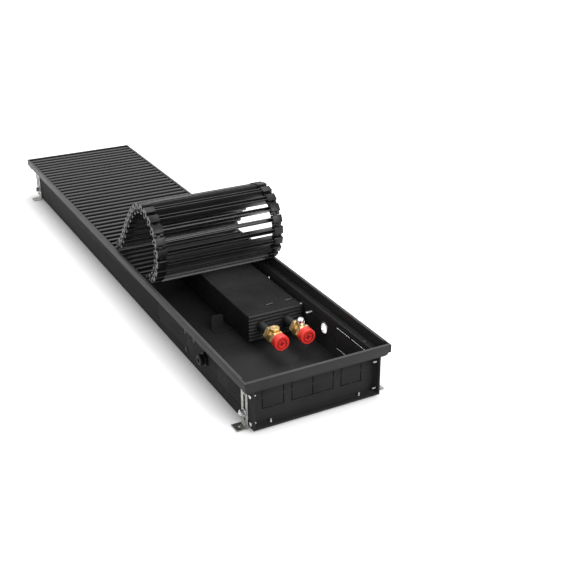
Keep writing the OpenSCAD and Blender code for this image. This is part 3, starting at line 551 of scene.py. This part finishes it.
# Rails, sheet parts and brackets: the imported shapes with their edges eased
def loose_solids(form):
    """The vertices of each solid that hangs together"""
    seen = set()
    for vert in form.verts:
        if vert in seen:
            continue
        solid, queue = [], [vert]
        seen.add(vert)
        while queue:
            here = queue.pop()
            solid.append(here)
            for edge in here.link_edges:
                other = edge.other_vert(here)
                if other not in seen:
                    seen.add(other)
                    queue.append(other)
        yield solid


def packed_copy(node, keep=None):
    """The node's shape as one clean mesh, or only its loose solids whose box passes the test keep"""
    form = bmesh.new()
    form.from_mesh(NODES[node].data)
    bmesh.ops.remove_doubles(form, verts=form.verts, dist=1e-6)
    if keep:
        dropped = []
        for solid in loose_solids(form):
            low = [min(v.co[i] for v in solid) for i in range(3)]
            high = [max(v.co[i] for v in solid) for i in range(3)]
            if not keep(low, high):
                dropped += solid
        bmesh.ops.delete(form, geom=dropped, context="VERTS")
    bmesh.ops.dissolve_limit(form, angle_limit=math.radians(0.5), verts=form.verts, edges=form.edges)
    return form


def ease(form, width, angle=40.0, segments=2, chosen=None):
    """Rounds the sharp edges, or only the chosen ones, by width millimetres"""
    limit = math.radians(angle)
    edges = [edge for edge in form.edges
             if len(edge.link_faces) == 2 and edge.calc_face_angle(0.0) > limit
             and (chosen is None or chosen(edge))]
    bmesh.ops.bevel(form, geom=edges, offset=width * MM, segments=segments, profile=0.5, affect="EDGES",
                    clamp_overlap=True)


def eased_piece(node, width, name, finish=None):
    form = packed_copy(node)
    ease(form, width)
    finish_piece(as_mesh(form, name, outward=False), name, SLOT_OF[node], BODY_OF[node], [node], finish)


def add_sheet_parts():
    """Each node, the width in millimetres by which its edges are eased, and the name of its piece"""
    eased_piece("casing_tray", 0.25, "trench_sheet")
    for node in ("front_end_panel", "rear_end_panel"):
        eased_piece(node, 0.1, node + "_pressing")
    for node in ("rim_left", "rim_right", "rim_front", "rim_rear"):
        eased_piece(node, 0.22, node + "_rail")
    eased_piece("floor_plate", 0.2, "bay_plate", finish="plate")
    eased_piece("exchanger_brackets", 0.2, "exchanger_supports")
    eased_piece("exchanger_end_plates", 0.15, "grooved_end_plates")
    eased_piece("exchanger_clips", 0.12, "cover_clips", finish="dark_zinc")
    eased_piece("vent_screw", 0.12, "vent_spindle")


# Near-black strips behind the slots of the end panels' break-outs: painted shade where the slots look dark
PORT_WIDTH = 39.0
PORT_HEIGHT = 40.0
PORT_SLOT = 1.6
PORT_LOW = 22.0
PORT_PLACES = (-70.7, -18.7, 18.7, 70.7)
PANEL_BACK = 25.25
SHADE_STRIP_THICK = 0.15
SHADE_STRIP_LAP = 0.4
SHADE_STRIP_GAP = 0.02


def add_break_out_webs():
    """Painted shade: strips that lap the slots from behind; neighbouring break-outs share the slot between them"""
    reach, half = (PORT_WIDTH - PORT_SLOT) / 2, PORT_SLOT / 2 + SHADE_STRIP_LAP
    low, high = PORT_LOW - SHADE_STRIP_LAP, PORT_LOW + PORT_HEIGHT + SHADE_STRIP_LAP
    strips = [(x - half, x + half, low, high)
              for x in sorted({round(centre + side * reach, 2) for centre in PORT_PLACES for side in (-1, 1)})]
    for centre in PORT_PLACES:
        stop = reach - half - SHADE_STRIP_GAP
        strips += [(centre - stop, centre + stop, z, z + 2 * half) for z in (low, high - 2 * half)]
    form = bmesh.new()
    for x0, x1, z0, z1 in strips:
        for front, back in ((PANEL_BACK, PANEL_BACK + SHADE_STRIP_THICK),
                            (RIM_LENGTH - PANEL_BACK - SHADE_STRIP_THICK, RIM_LENGTH - PANEL_BACK)):
            extrude_outline(form, [(x0, z0), (x1, z0), (x1, z1), (x0, z1)], front, back,
                            lambda x, z, y: millimetres(x, y, z) / MM)
    finish_piece(as_mesh(form, "break_out_webs"), "break_out_webs", "casing", "root", finish="web")


# Feet and what clamps them
FOOT_GAP = 0.15
FOOT_SHEET = 2.0
FOOT_OUTER_BEND = 2.2
FOOT_INNER_BEND = 0.9
FOOT_EASE = 0.18
THREAD_RISE, THREAD_FALL = 0.35, 0.6
SPLIT_HALF_ANGLE = 6


def at_edge_line(x, z):
    """Test for an edge that runs along Y at x to either side and at height z"""
    def found(edge):
        return all(abs(abs(v.co.x) - x * MM) < 1e-5 and abs(v.co.z - z * MM) < 1e-5 for v in edge.verts)
    return found


def add_feet():
    for end in ("front", "rear"):
        for side in ("left", "right"):
            node = "foot_%s_%s" % (end, side)
            form = packed_copy(node)
            ease(form, FOOT_OUTER_BEND, segments=5, chosen=at_edge_line(WALL + FOOT_GAP, 0.0))
            ease(form, FOOT_INNER_BEND, segments=4,
                 chosen=at_edge_line(WALL + FOOT_GAP + FOOT_SHEET, FOOT_SHEET))
            ease(form, FOOT_EASE)
            finish_piece(as_mesh(form, node + "_bracket", outward=False), node + "_bracket", "foot_steel",
                         BODY_OF[node], [node])


def thread(radius, depth, start, stop, pitch):
    """Profile of a thread as rings from height start to stop; each crest is flat on top"""
    turns = int(abs(stop - start) / pitch)
    step = (stop - start) / turns
    points = []
    for i in range(turns):
        points += [(radius - depth, start + i * step), (radius, start + (i + THREAD_RISE) * step),
                   (radius, start + (i + THREAD_FALL) * step)]
    return points + [(radius - depth, stop)]


def split_ring(form, inner, outer, low, thick, rise, count=48):
    """A spring washer: a ring with a slanted split whose ends spring apart"""
    rings = []
    for i in range(count + 1):
        turn = math.radians(SPLIT_HALF_ANGLE) + math.radians(360 - 2 * SPLIT_HALF_ANGLE) * i / count
        lift = rise * (i / count - 0.5)
        ring = [(inner, low), (outer, low), (outer, low + thick), (inner, low + thick)]
        rings.append([form.verts.new(Vector((r * math.cos(turn), r * math.sin(turn), z + lift)) * MM)
                      for r, z in ring])
    for a, b in zip(rings, rings[1:]):
        for k in range(4):
            form.faces.new((a[k], b[k], b[(k + 1) % 4], a[(k + 1) % 4]))
    form.faces.new(rings[0])
    form.faces.new(rings[-1][::-1])


def add_foot_hardware():
    places = [(millimetres(side * (WALL - SHEET), y, STUD_Z), (side, 0, 0))
              for y in both_ends(STUD_Y) for side in (-1, 1)]
    form = bmesh.new()
    lathe(form, [(0, -2), (4.4, -2), (5.2, -1.7), (5.5, -1.1), (5.5, -0.05), (3, -0.05)]
          + thread(3, 0.32, 0.5, 12.8, 1.0) + [(2.2, 13.35), (0, 13.35)], UPRIGHT, 32)
    fasteners(as_mesh(form, "stud"), "foot_clamp_studs", "bright_zinc", "root", places, ["foot_studs"])
    form = bmesh.new()
    lathe(form, [(3.2, 3.6), (6.3, 3.6), (6.5, 3.8), (6.5, 4.55), (6.3, 4.75), (3.2, 4.75)], UPRIGHT, 48,
          closed=True)
    split_ring(form, inner=3.15, outer=5.0, low=4.9, thick=1.3, rise=0.3)
    fasteners(as_mesh(form, "washers"), "foot_clamp_washers", "bright_zinc", "root", places, ["foot_washers"])
    form = bmesh.new()
    hexagon(form, 10, 5, 2.95, UPRIGHT, first=6.35)
    fasteners(as_mesh(form, "nut"), "foot_clamp_nuts", "bright_zinc", "root", places, ["foot_nuts"])


# Screws: how far in from the ends they stand, how high, and how far to either side
PANEL_SCREW_INSET = 14
PANEL_SCREW_HEIGHTS = (8, 57)
FLOOR_SCREW_X = 80
WALL_BOLTS = ((225, 53, 14), (262, 53, 6), (262, 18, 6))
RIM_SCREW_TOP = 71.2
SIDE_RIM_SCREWS = 5
SIDE_RIM_SCREW_X = 118.625
SIDE_RIM_SCREW_INSET = 60
END_RIM_SCREW_X = 60
END_RIM_SCREW_INSET = 11.375


def add_screws():
    walls = [(millimetres(side * WALL, y, z), (side, 0, 0))
             for y in both_ends(PANEL_SCREW_INSET) for z in PANEL_SCREW_HEIGHTS for side in (-1, 1)]
    floors = [(millimetres(side * FLOOR_SCREW_X, y, 0), (0, 0, -1))
              for y in both_ends(PANEL_SCREW_INSET) for side in (-1, 1)]
    pan = screw_mesh("pan_screw", [(0, -9), (1.2, -8.7)] + thread(2, 0.35, -8.4, -0.4, 0.8)
                     + [(2, -0.02), (3.5, -0.02), (3.6, 0.3), (3.6, 0.9), (3.4, 1.5), (3.0, 2.0), (2.3, 2.2)],
                     top=2.2, cross=(0.95, 3.5), depth=1.1)
    fasteners(pan, "panel_pan_screws", "bright_zinc", "root", walls + floors, ["end_panel_screws"])
    heads = []
    for y, z, length in WALL_BOLTS:
        form = bmesh.new()
        lathe(form, [(0, -length), (2, -length)] + thread(2.5, 0.4, 0.5 - length, -0.5, 0.8)
              + [(2.5, -0.02), (0, -0.02)], UPRIGHT, 24)
        places = [(millimetres(side * WALL, y, z), (side, 0, 0)) for side in (-1, 1)]
        fasteners(as_mesh(form, "shank"), "wall_bolt_shanks_%d_%d" % (y, z), "bright_zinc", "root",
                  places, ["side_bolts"])
        heads += places
    head = screw_mesh("head", [(0, 0), (4.4, 0), (4.5, 0.3), (4.5, 1.0), (4.1, 1.8), (3.4, 2.35), (2.6, 2.6)],
                      top=2.6, cross=(1.1, 4.0), depth=1.3)
    fasteners(head, "wall_bolt_heads", "bright_zinc", "root", heads, ["side_bolts"], finish="black_zinc")
    sunk = screw_mesh("sunk_screw", [(0, -6), (0.9, -5.7)] + thread(1.5, 0.25, -5.5, -1.4, 0.6)
                      + [(1.5, -1.2), (2.55, -0.15), (2.6, -0.03), (2.5, 0)],
                      top=0, cross=(0.7, 3.0), depth=0.8)
    pitch = (RIM_LENGTH - 2 * SIDE_RIM_SCREW_INSET) / (SIDE_RIM_SCREWS - 1)
    ledge = [(millimetres(side * SIDE_RIM_SCREW_X, SIDE_RIM_SCREW_INSET + i * pitch, RIM_SCREW_TOP), (0, 0, 1))
             for i in range(SIDE_RIM_SCREWS) for side in (-1, 1)]
    ledge += [(millimetres(side * END_RIM_SCREW_X, y, RIM_SCREW_TOP), (0, 0, 1))
              for y in both_ends(END_RIM_SCREW_INSET) for side in (-1, 1)]
    fasteners(sunk, "ledge_sunk_screws", "dark_zinc", "root", ledge, ["rim_screws"])


# Exchanger and its pipes
def add_fins():
    """One fin with round holes and a collar round each pipe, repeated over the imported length"""
    low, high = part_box("exchanger_fins")
    count = round((high.y - low.y - CAD_FIN_THICK * MM) / (FIN_PITCH * MM)) + 1
    form = bmesh.new()
    half = FIN_WIDTH / 2
    turns = [2 * math.pi * i / FIN_HOLE_SIDES for i in range(FIN_HOLE_SIDES)]
    rings = [[(-half, 0), (half, 0), (half, FIN_HEIGHT), (-half, FIN_HEIGHT)]]
    rings += [[(x - half + FIN_HOLE_R * math.cos(turn), PIPE_Z - FIN_LOW + FIN_HOLE_R * math.sin(turn))
               for turn in turns] for x in PIPE_X]
    flat = [point for ring in rings for point in ring]
    triangles = tessellate_polygon([[Vector((u, v, 0)) for u, v in ring] for ring in rings])
    sides = []
    for y in (0.0, FIN_THICK):
        verts = [form.verts.new(Vector((u, y, v)) * MM) for u, v in flat]
        sides.append(verts)
        for corners in triangles:
            form.faces.new([verts[i] for i in corners])
    first = 0
    for ring in rings:
        for i in range(len(ring)):
            a, b = first + i, first + (i + 1) % len(ring)
            form.faces.new((sides[0][a], sides[0][b], sides[1][b], sides[1][a]))
        first += len(ring)
    for x in PIPE_X:
        collar = at(Vector((x - half, 0, PIPE_Z - FIN_LOW)) * MM, (0, 1, 0))
        lathe(form, [(7.65, FIN_THICK), (8.1, FIN_THICK), (8.0, 1.8), (7.65, 1.8)], collar, FIN_HOLE_SIDES,
              closed=True)
    start = Vector(((low.x + high.x) / 2, low.y, low.z))
    row(as_mesh(form, "fin"), "fin_pack", "exchanger", "root", count, start, (0, FIN_PITCH * MM, 0),
        replaced=["exchanger_fins"], finish="fin")


def add_pipes():
    """Two tubes whose ends are broken by 0.3 mm"""
    for node, x in (("supply_pipe", PIPE_X[0]), ("return_pipe", PIPE_X[1])):
        low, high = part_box(node)
        length = (high.y - low.y) / MM
        mouth = [(PIPE_BORE, 0.3), (PIPE_BORE + 0.3, 0), (PIPE_R - 0.2, 0), (PIPE_R, 0.3)]
        form = bmesh.new()
        lathe(form, mouth + [(radius, length - height) for radius, height in mouth[::-1]],
              at(Vector((x * MM, low.y, (low.z + high.z) / 2)), (0, 1, 0)), 48, closed=True)
        finish_piece(as_mesh(form, node + "_tube"), node + "_tube", "exchanger", "root", [node])


def add_bend():
    """The bend that joins the tubes, with a wider socket at each mouth, as rings along its middle line"""
    low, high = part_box("return_bend")
    mouth = low.y / MM
    middle, reach = (PIPE_X[0] + PIPE_X[1]) / 2, (PIPE_X[1] - PIPE_X[0]) / 2
    centre_y = high.y / MM - reach - PIPE_R
    path = [(PIPE_X[0], mouth + out, 0.0, BEND_SOCKET_R, BEND_SOCKET_BORE) for out in (0.0, BEND_SOCKET)]
    for i in range(BEND_STEPS + 1):
        turn = math.pi * i / BEND_STEPS
        outer = BEND_NECK_R if i in (0, BEND_STEPS) else PIPE_R
        x, y = middle - reach * math.cos(turn), centre_y + reach * math.sin(turn)
        path.append((x, y, turn, outer, PIPE_BORE))
    path += [(PIPE_X[1], mouth + out, math.pi, BEND_SOCKET_R, BEND_SOCKET_BORE) for out in (BEND_SOCKET, 0.0)]
    form = bmesh.new()

    def ring(x, y, turn, radius):
        across = Vector((-math.cos(turn), math.sin(turn), 0))
        centre = Vector((x * MM, y * MM, (low.z + high.z) / 2))
        spokes = [across * math.cos(step) + Vector((0, 0, math.sin(step)))
                  for step in (2 * math.pi * k / BEND_SIDES for k in range(BEND_SIDES))]
        return [form.verts.new(centre + spoke * radius * MM) for spoke in spokes]

    rings = [ring(x, y, turn, outer) for x, y, turn, outer, _ in path]
    rings += [ring(x, y, turn, inner) for x, y, turn, _, inner in path[::-1]]
    join_rings(form, rings, closed=True)
    finish_piece(as_mesh(form, "return_elbow"), "return_elbow", "exchanger", "root", ["return_bend"])


# Valves, caps and vent
KNURLED_SHARP_ANGLE = 28.0
GRIP_RIBS = 28
GRIP_DEPTH = 0.022
GRIP_LEAST_R = 14.3
GRIP_LOW, GRIP_HIGH = 2.0, 12.2
CAP_CROSS = (1.6, 9.0)
CAP_CROSS_EASE = 0.15


def knurl(teeth, depth, least):
    """Wave for lathe: teeth that cut depth, a share of the radius, into all that is wider than least"""
    def share(turn, radius, height):
        return 1 - depth * (0.5 + 0.5 * math.cos(teeth * turn)) if radius > least else 1
    return share


def add_valves():
    sixth = Matrix.Rotation(math.pi / 6, 4, "Z")
    for name, x in (("valve_left", PIPE_X[0]), ("valve_right", PIPE_X[1])):
        axis = at(millimetres(x, CAP_Y, PIPE_Z), (0, 1, 0))
        form = bmesh.new()
        lathe(form, [(5, 2.4), (5.4, 2), (11.9, 2)] + thread(12.6, 0.6, 2.6, 11.2, 1.4)
              + [(11.9, 13.3), (5, 13.3)], axis, 64, closed=True)
        hexagon(form, HEX_ACROSS, 8, 5, axis @ sixth, first=13.3)
        lathe(form, [(5, 21.3), (9.1, 21.3), (9.5, 21.9), (9.5, 30.6), (9.1, 30.9), (9.1, 31.5), (9.5, 31.8),
                     (9.5, 33.9), (9.1, 34.3), (7.65, 34.3), (7.65, 28.3), (5, 28.3)], axis, 64, closed=True)
        neck = at(millimetres(x, NECK_Y, PIPE_Z))
        lathe(form, [(0, 5), (5.5, 5), (5.5, 10.4), (5.1, 10.7), (5.1, 11.2), (5.5, 11.5), (5.5, 13.2),
                     (5.2, 13.55), (3.5, 13.55), (3.5, 16.2), (3.2, 16.55), (0, 16.55)], neck, 48)
        finish_piece(as_mesh(form, name + "_body"), name + "_casting", "brass", "root", [name])
    form = bmesh.new()
    hexagon(form, HEX_ACROSS, 9, 7.6, sixth)
    fasteners(as_mesh(form, "union_nut"), "union_nuts", "brass", "root",
              [(millimetres(x, CAP_Y + 34.6, PIPE_Z), (0, 1, 0)) for x in PIPE_X], ["pipe_nuts"])
    form = bmesh.new()
    lathe(form, [(3.55, 0), (7.7, 0), (8.75, 0.9), (8.75, 3.6), (7.7, 4.5), (3.2, 4.5), (2.8, 4.0), (0, 4.0),
                 (0, 3), (3.55, 3)], at(millimetres(PIPE_X[0], NECK_Y, NECK_TOP + 0.3)), 144, closed=True,
          wave=knurl(36, 0.035, 8.7))
    finish_piece(as_mesh(form, "knurled_cap", angle=KNURLED_SHARP_ANGLE), "knurled_spindle_cap", "brass",
                 "spindle_cap_body", ["spindle_cap"])
    form = bmesh.new()
    lathe(form, [(3.6, 0), (7.0, 0), (7.5, 0.5), (7.5, 2.2), (7.2, 2.5), (7.2, 2.9), (7.5, 3.2), (7.5, 6.4),
                 (7.3, 7.7), (6.7, 8.8), (5.8, 9.7), (4.7, 10.25), (3.5, 10.5), (2.7, 10.5), (2.55, 10.35),
                 (2.55, 9.12), (0, 9.12), (0, 3.2), (3.6, 3.2)],
          at(millimetres(PIPE_X[1], NECK_Y, NECK_TOP + 0.3)), 72, closed=True)
    finish_piece(as_mesh(form, "vent_dome"), "vent_dome", "chrome", "root", ["air_vent"])


def grip(turn, radius, height):
    """Wave for lathe: grooves between the grip ribs round a cap, and none near its two ends"""
    ribbed = radius > GRIP_LEAST_R and GRIP_LOW < height < GRIP_HIGH
    return 1 - GRIP_DEPTH * max(0.0, math.cos(GRIP_RIBS * turn)) if ribbed else 1


def add_caps():
    """Each cap as a ribbed shell, and the ring and the cross on its face as a piece of a darker red: painted shade
    for their relief
    """
    for name, x in (("cap_left", PIPE_X[0]), ("cap_right", PIPE_X[1])):
        axis = at(millimetres(x, CAP_Y, PIPE_Z), (0, 1, 0))
        form = bmesh.new()
        lathe(form, [(0, 1.15), (7.6, 1.15), (7.6, 0.4), (9.1, 0.4), (9.1, 1.15), (9.9, 1.15), (10.2, 0),
                     (12.4, 0), (13.3, 0.2), (14.0, 0.7), (14.35, 1.5), (14.4, 2.1), (14.4, 12.1), (14.4, 12.6),
                     (14.1, 13), (12.9, 13), (12.75, 12.8), (12.75, 1.7), (0, 1.7)], axis, 168, closed=True,
              wave=grip)
        finish_piece(as_mesh(form, name + "_shell"), name + "_shell", "red_plastic", name + "_body", [name])
        # The ring and the cross take the darker red: painted shade
        form = bmesh.new()
        lathe(form, [(7.7, 0.4), (9.0, 0.4), (9.0, -0.45), (8.8, -0.7), (7.9, -0.7), (7.7, -0.45)], axis, 64,
              closed=True)
        start = set(form.edges)
        extrude_outline(form, cross_outline(*CAP_CROSS), -0.7, 1.2,
                        lambda u, v, depth: axis @ (Vector((u, v, depth)) * MM) / MM)
        edges = [edge for edge in form.edges if edge not in start]
        bmesh.ops.bevel(form, geom=edges, offset=CAP_CROSS_EASE * MM, segments=2, profile=0.5,
                        affect="EDGES", clamp_overlap=True)
        finish_piece(as_mesh(form, name + "_ring_and_cross"), name + "_ring_and_cross", "red_plastic",
                     name + "_body", [name], finish="red_painted_shade")


# Cable entries
def add_cable_entries():
    outward = at(millimetres(-WALL, ENTRY_Y, ENTRY_Z), (-1, 0, 0))
    form = bmesh.new()
    hexagon(form, 22, 5, 4, outward)
    lathe(form, [(4, 5), (9.2, 5), (9.5, 5.4), (9.5, 11), (9.3, 12.0), (8.7, 12.8), (7.8, 13.3), (6.8, 13.5),
                 (4.7, 13.5), (4, 12.9)], outward, 120, closed=True, wave=knurl(20, 0.03, 9.45))
    lathe(form, [(4, 0), (4, -7.25), (7.2, -7.25)] + thread(8, 0.5, -6.9, -0.4, 1.3) + [(8, 0)], outward, 48,
          closed=True)
    finish_piece(as_mesh(form, "gland"), "cable_gland_body", "black_plastic", "root", ["cable_gland"])
    form = bmesh.new()
    hexagon(form, 22, 3.5, 8.05, at(millimetres(SHEET - WALL, ENTRY_Y, ENTRY_Z), (1, 0, 0)))
    finish_piece(as_mesh(form, "locknut"), "gland_ring_nut", "black_plastic", "root", ["gland_locknut"])
    form = bmesh.new()
    lathe(form, [(9.3, -0.9), (9.7, -1.3), (12.0, -1.3), (12.4, -0.9), (12.4, -0.02), (10.85, -0.02),
                 (10.85, 1.27), (12.4, 1.27), (12.4, 2.15), (12.0, 2.55), (9.7, 2.55), (9.3, 2.15)],
          at(millimetres(WALL - SHEET, ENTRY_Y, ENTRY_Z), (1, 0, 0)), 72, closed=True)
    finish_piece(as_mesh(form, "grommet"), "wall_grommet_ring", "bright_zinc", "root", ["wall_grommet"])


# Roll-up grille
LINK_LONGEST = 50.0
LINK_EASE = 0.3
LINK_EDGE_ANGLE = 38.0
LINK_SHARP_ANGLE = 30.0
LAST_LINKS_REACH = 5.0


def slat_mesh():
    """One slat along X with its hinge line at the origin: a channel with a rounded back"""
    half, wall = SLAT_WIDTH / 2, SLAT_WIDTH / 2 - SLAT_WALL
    inside = SLAT_TOP - SLAT_CROWN
    outline = rounded(
        [(-half, SLAT_LOW), (-wall, SLAT_LOW), (-wall, inside), (wall, inside), (wall, SLAT_LOW),
         (half, SLAT_LOW), (half, SLAT_TOP), (-half, SLAT_TOP)],
        [0.3, 0.3, 0.5, 0.5, 0.3, 0.3, 1.1, 1.1])
    form = bmesh.new()
    extrude_outline(form, outline, -SLAT_LENGTH / 2, SLAT_LENGTH / 2, lambda u, v, depth: Vector((depth, u, v)))
    return as_mesh(form, "slat")


def bend_of(joint):
    """The joint's full turn in degrees, from the roll of the photograph to straight"""
    low, high = joint["range_deg"]
    return high if abs(high) > abs(low) else low


def rolled_places():
    """Middle of each rolled slat on its hinge line, and its turn about X"""
    places, total = [], 0.0
    for k in range(1, ROLLED + 1):
        joint = JOINTS["roll_%02d" % k]
        total += math.radians(bend_of(joint))
        hinge = Vector(joint["pos_m"])
        half = SLAT_PITCH / 2 * MM
        places.append((hinge + Vector((0, -half * math.cos(total), half * math.sin(total))), -total))
    return places


def link_pair(node, place, tilt):
    """The two link blocks of a slat, brought back to the hinge line at the origin, with eased edges"""
    form = packed_copy(node, keep=lambda low, high: high[0] - low[0] < LINK_LONGEST * MM)
    form.transform((Matrix.Translation(place) @ Matrix.Rotation(tilt, 4, "X")).inverted())
    ease(form, LINK_EASE, angle=LINK_EDGE_ANGLE)
    return as_mesh(form, "links", outward=False, angle=LINK_SHARP_ANGLE)


def add_grille():
    """All slats are one shape, and so are all pairs of links but the one at each end of the grille"""
    slat = slat_mesh()
    places = rolled_places()
    pair = link_pair("slat_01", *places[0])
    last_pair = link_pair("slat_22", *places[-1])
    for k, (middle, tilt) in enumerate(places, 1):
        body, node = "roll_%02d" % k, "slat_%02d" % k
        row(slat, "rolled_slat_%02d" % k, "slat", body, 1, middle, tilt=tilt, replaced=[node])
        row(last_pair if k == ROLLED else pair, "rolled_links_%02d" % k, "link", body, 1, middle, tilt=tilt,
            replaced=[node])
    first = millimetres(0, FIRST_SLAT + ROLLED * SLAT_PITCH, HINGE_Z)
    step = (0, SLAT_PITCH * MM, 0)
    row(slat, "flat_slats", "slat", "grille_flat", FLAT, first, step, replaced=["grille_slats"])
    row(pair, "flat_links", "link", "grille_flat", FLAT - 1, first, step, replaced=["grille_links"])
    last = millimetres(0, FIRST_SLAT + (ROLLED + FLAT - 1) * SLAT_PITCH - LAST_LINKS_REACH, HINGE_Z)
    form = packed_copy("grille_links", keep=lambda low, high: (low[1] + high[1]) / 2 > last.y)
    ease(form, LINK_EASE, angle=LINK_EDGE_ANGLE)
    finish_piece(as_mesh(form, "end_links", outward=False), "flat_end_links", "link", "grille_flat",
                 ["grille_links"])


add_sheet_parts()
add_break_out_webs()
add_feet()
add_foot_hardware()
add_screws()
add_fins()
add_pipes()
add_bend()
add_valves()
add_caps()
add_cable_entries()
add_grille()


# Camera and studio: lamps by name, place, aim, size in metres and watts
LAMPS = (("overhead", (0.5, 0.7, 2.4), (0, 0, 0), (2.6, 1.8), 30),
         ("front", (0.5, -2.2, 1.3), (0, -0.4, 0), (1.6, 1.2), 36),
         ("left", (-2.4, -0.9, 0.8), (0, -0.2, 0), (1.4, 1.0), 9))
WORLD_STRENGTH = 0.45
PAPER_TONE = 0.78
# Glow of the paper at the casing and beyond GLOW_REACH metres; the weaker glow near it is painted shade
GLOW_NEAR, GLOW_FAR, GLOW_REACH = 0.15, 1.0, 0.10
FLOOR_REACH = 12
FLOOR_Z = -0.0005


def any_ray(tree, *kinds):
    """1 for a ray of any of the kinds, else 0"""
    path = tree.nodes.new("ShaderNodeLightPath")
    found = path.outputs["Is %s Ray" % kinds[0]]
    for kind in kinds[1:]:
        larger = tree.nodes.new("ShaderNodeMath")
        larger.operation = "MAXIMUM"
        tree.links.new(found, larger.inputs[0])
        tree.links.new(path.outputs["Is %s Ray" % kind], larger.inputs[1])
        found = larger.outputs[0]
    return found


def add_camera():
    data = bpy.data.cameras.new("camera")
    data.sensor_width = SENSOR
    data.lens = FOCAL_PIXELS / IMAGE * SENSOR
    data.clip_end = 50
    camera = bpy.data.objects.new("camera", data)
    bpy.context.scene.collection.objects.link(camera)
    level = math.cos(CAMERA_DIP)
    ahead = Vector((math.cos(CAMERA_TURN) * level, math.sin(CAMERA_TURN) * level, -math.sin(CAMERA_DIP)))
    camera.location = CAMERA_PLACE
    camera.rotation_euler = ahead.to_track_quat("-Z", "Y").to_euler()
    bpy.context.scene.camera = camera


def add_lamp(name, place, target, size, power):
    data = bpy.data.lights.new(name, "AREA")
    data.shape = "RECTANGLE"
    data.size, data.size_y = size
    data.energy = power
    lamp = bpy.data.objects.new(name, data)
    bpy.context.scene.collection.objects.link(lamp)
    lamp.location = place
    lamp.rotation_euler = (Vector(target) - Vector(place)).to_track_quat("-Z", "Y").to_euler()


def add_studio():
    """Even light from all sides; the camera and mirrors see a plain white world"""
    scene = bpy.context.scene
    scene.view_settings.view_transform = "Standard"
    world = bpy.data.worlds.new("studio")
    scene.world = world
    world.use_nodes = True
    tree = world.node_tree
    light = tree.nodes["Background"]
    light.inputs["Color"].default_value = (1, 1, 1, 1)
    light.inputs["Strength"].default_value = WORLD_STRENGTH
    seen = tree.nodes.new("ShaderNodeBackground")
    seen.inputs["Color"].default_value = (1, 1, 1, 1)
    mix = tree.nodes.new("ShaderNodeMixShader")
    tree.links.new(any_ray(tree, "Camera", "Glossy", "Transmission"), mix.inputs[0])
    tree.links.new(light.outputs[0], mix.inputs[1])
    tree.links.new(seen.outputs[0], mix.inputs[2])
    tree.links.new(mix.outputs[0], tree.nodes["World Output"].inputs["Surface"])
    for lamp in LAMPS:
        add_lamp(*lamp)


def floor_paper():
    """White paper that keeps the shadow beside the heater and is plain white to the eye further out; less glow
    near the casing adds painted shade beside it
    """
    paper, tree, shader, place = new_finish("floor_paper")
    shader.inputs["Base Color"].default_value = (PAPER_TONE, PAPER_TONE, PAPER_TONE, 1)
    shader.inputs["Roughness"].default_value = 0.9
    shader.inputs["Specular IOR Level"].default_value = 0.1
    steps = [tree.nodes.new("ShaderNodeVectorMath") for _ in range(4)]
    for step, operation in zip(steps, ("ABSOLUTE", "SUBTRACT", "MAXIMUM", "LENGTH")):
        step.operation = operation
    steps[1].inputs[1].default_value = (WALL * MM, (RIM_LENGTH / 2 - PANEL_BACK) * MM, 1)
    tree.links.new(place, steps[0].inputs[0])
    for before, after in zip(steps, steps[1:]):
        tree.links.new(before.outputs["Vector"], after.inputs[0])
    # Glow fades towards the casing: painted shade at its foot, on top of its real shadow
    glow = between(tree, steps[3].outputs["Value"], GLOW_NEAR, GLOW_FAR, start=0.0, stop=GLOW_REACH)
    strength = tree.nodes.new("ShaderNodeMath")
    strength.operation = "MULTIPLY"
    tree.links.new(glow, strength.inputs[0])
    tree.links.new(any_ray(tree, "Camera", "Glossy"), strength.inputs[1])
    shader.inputs["Emission Color"].default_value = (1, 1, 1, 1)
    tree.links.new(strength.outputs[0], shader.inputs["Emission Strength"])
    return paper


def add_floor():
    mesh = bpy.data.meshes.new("floor")
    corners = [(x * FLOOR_REACH, y * FLOOR_REACH, 0) for x, y in ((-1, -1), (1, -1), (1, 1), (-1, 1))]
    mesh.from_pydata(corners, [], [(0, 1, 2, 3)])
    floor = bpy.data.objects.new("floor", mesh)
    bpy.context.scene.collection.objects.link(floor)
    floor.location.z = FLOOR_Z
    mesh.materials.append(floor_paper())


add_camera()
add_studio()
add_floor()
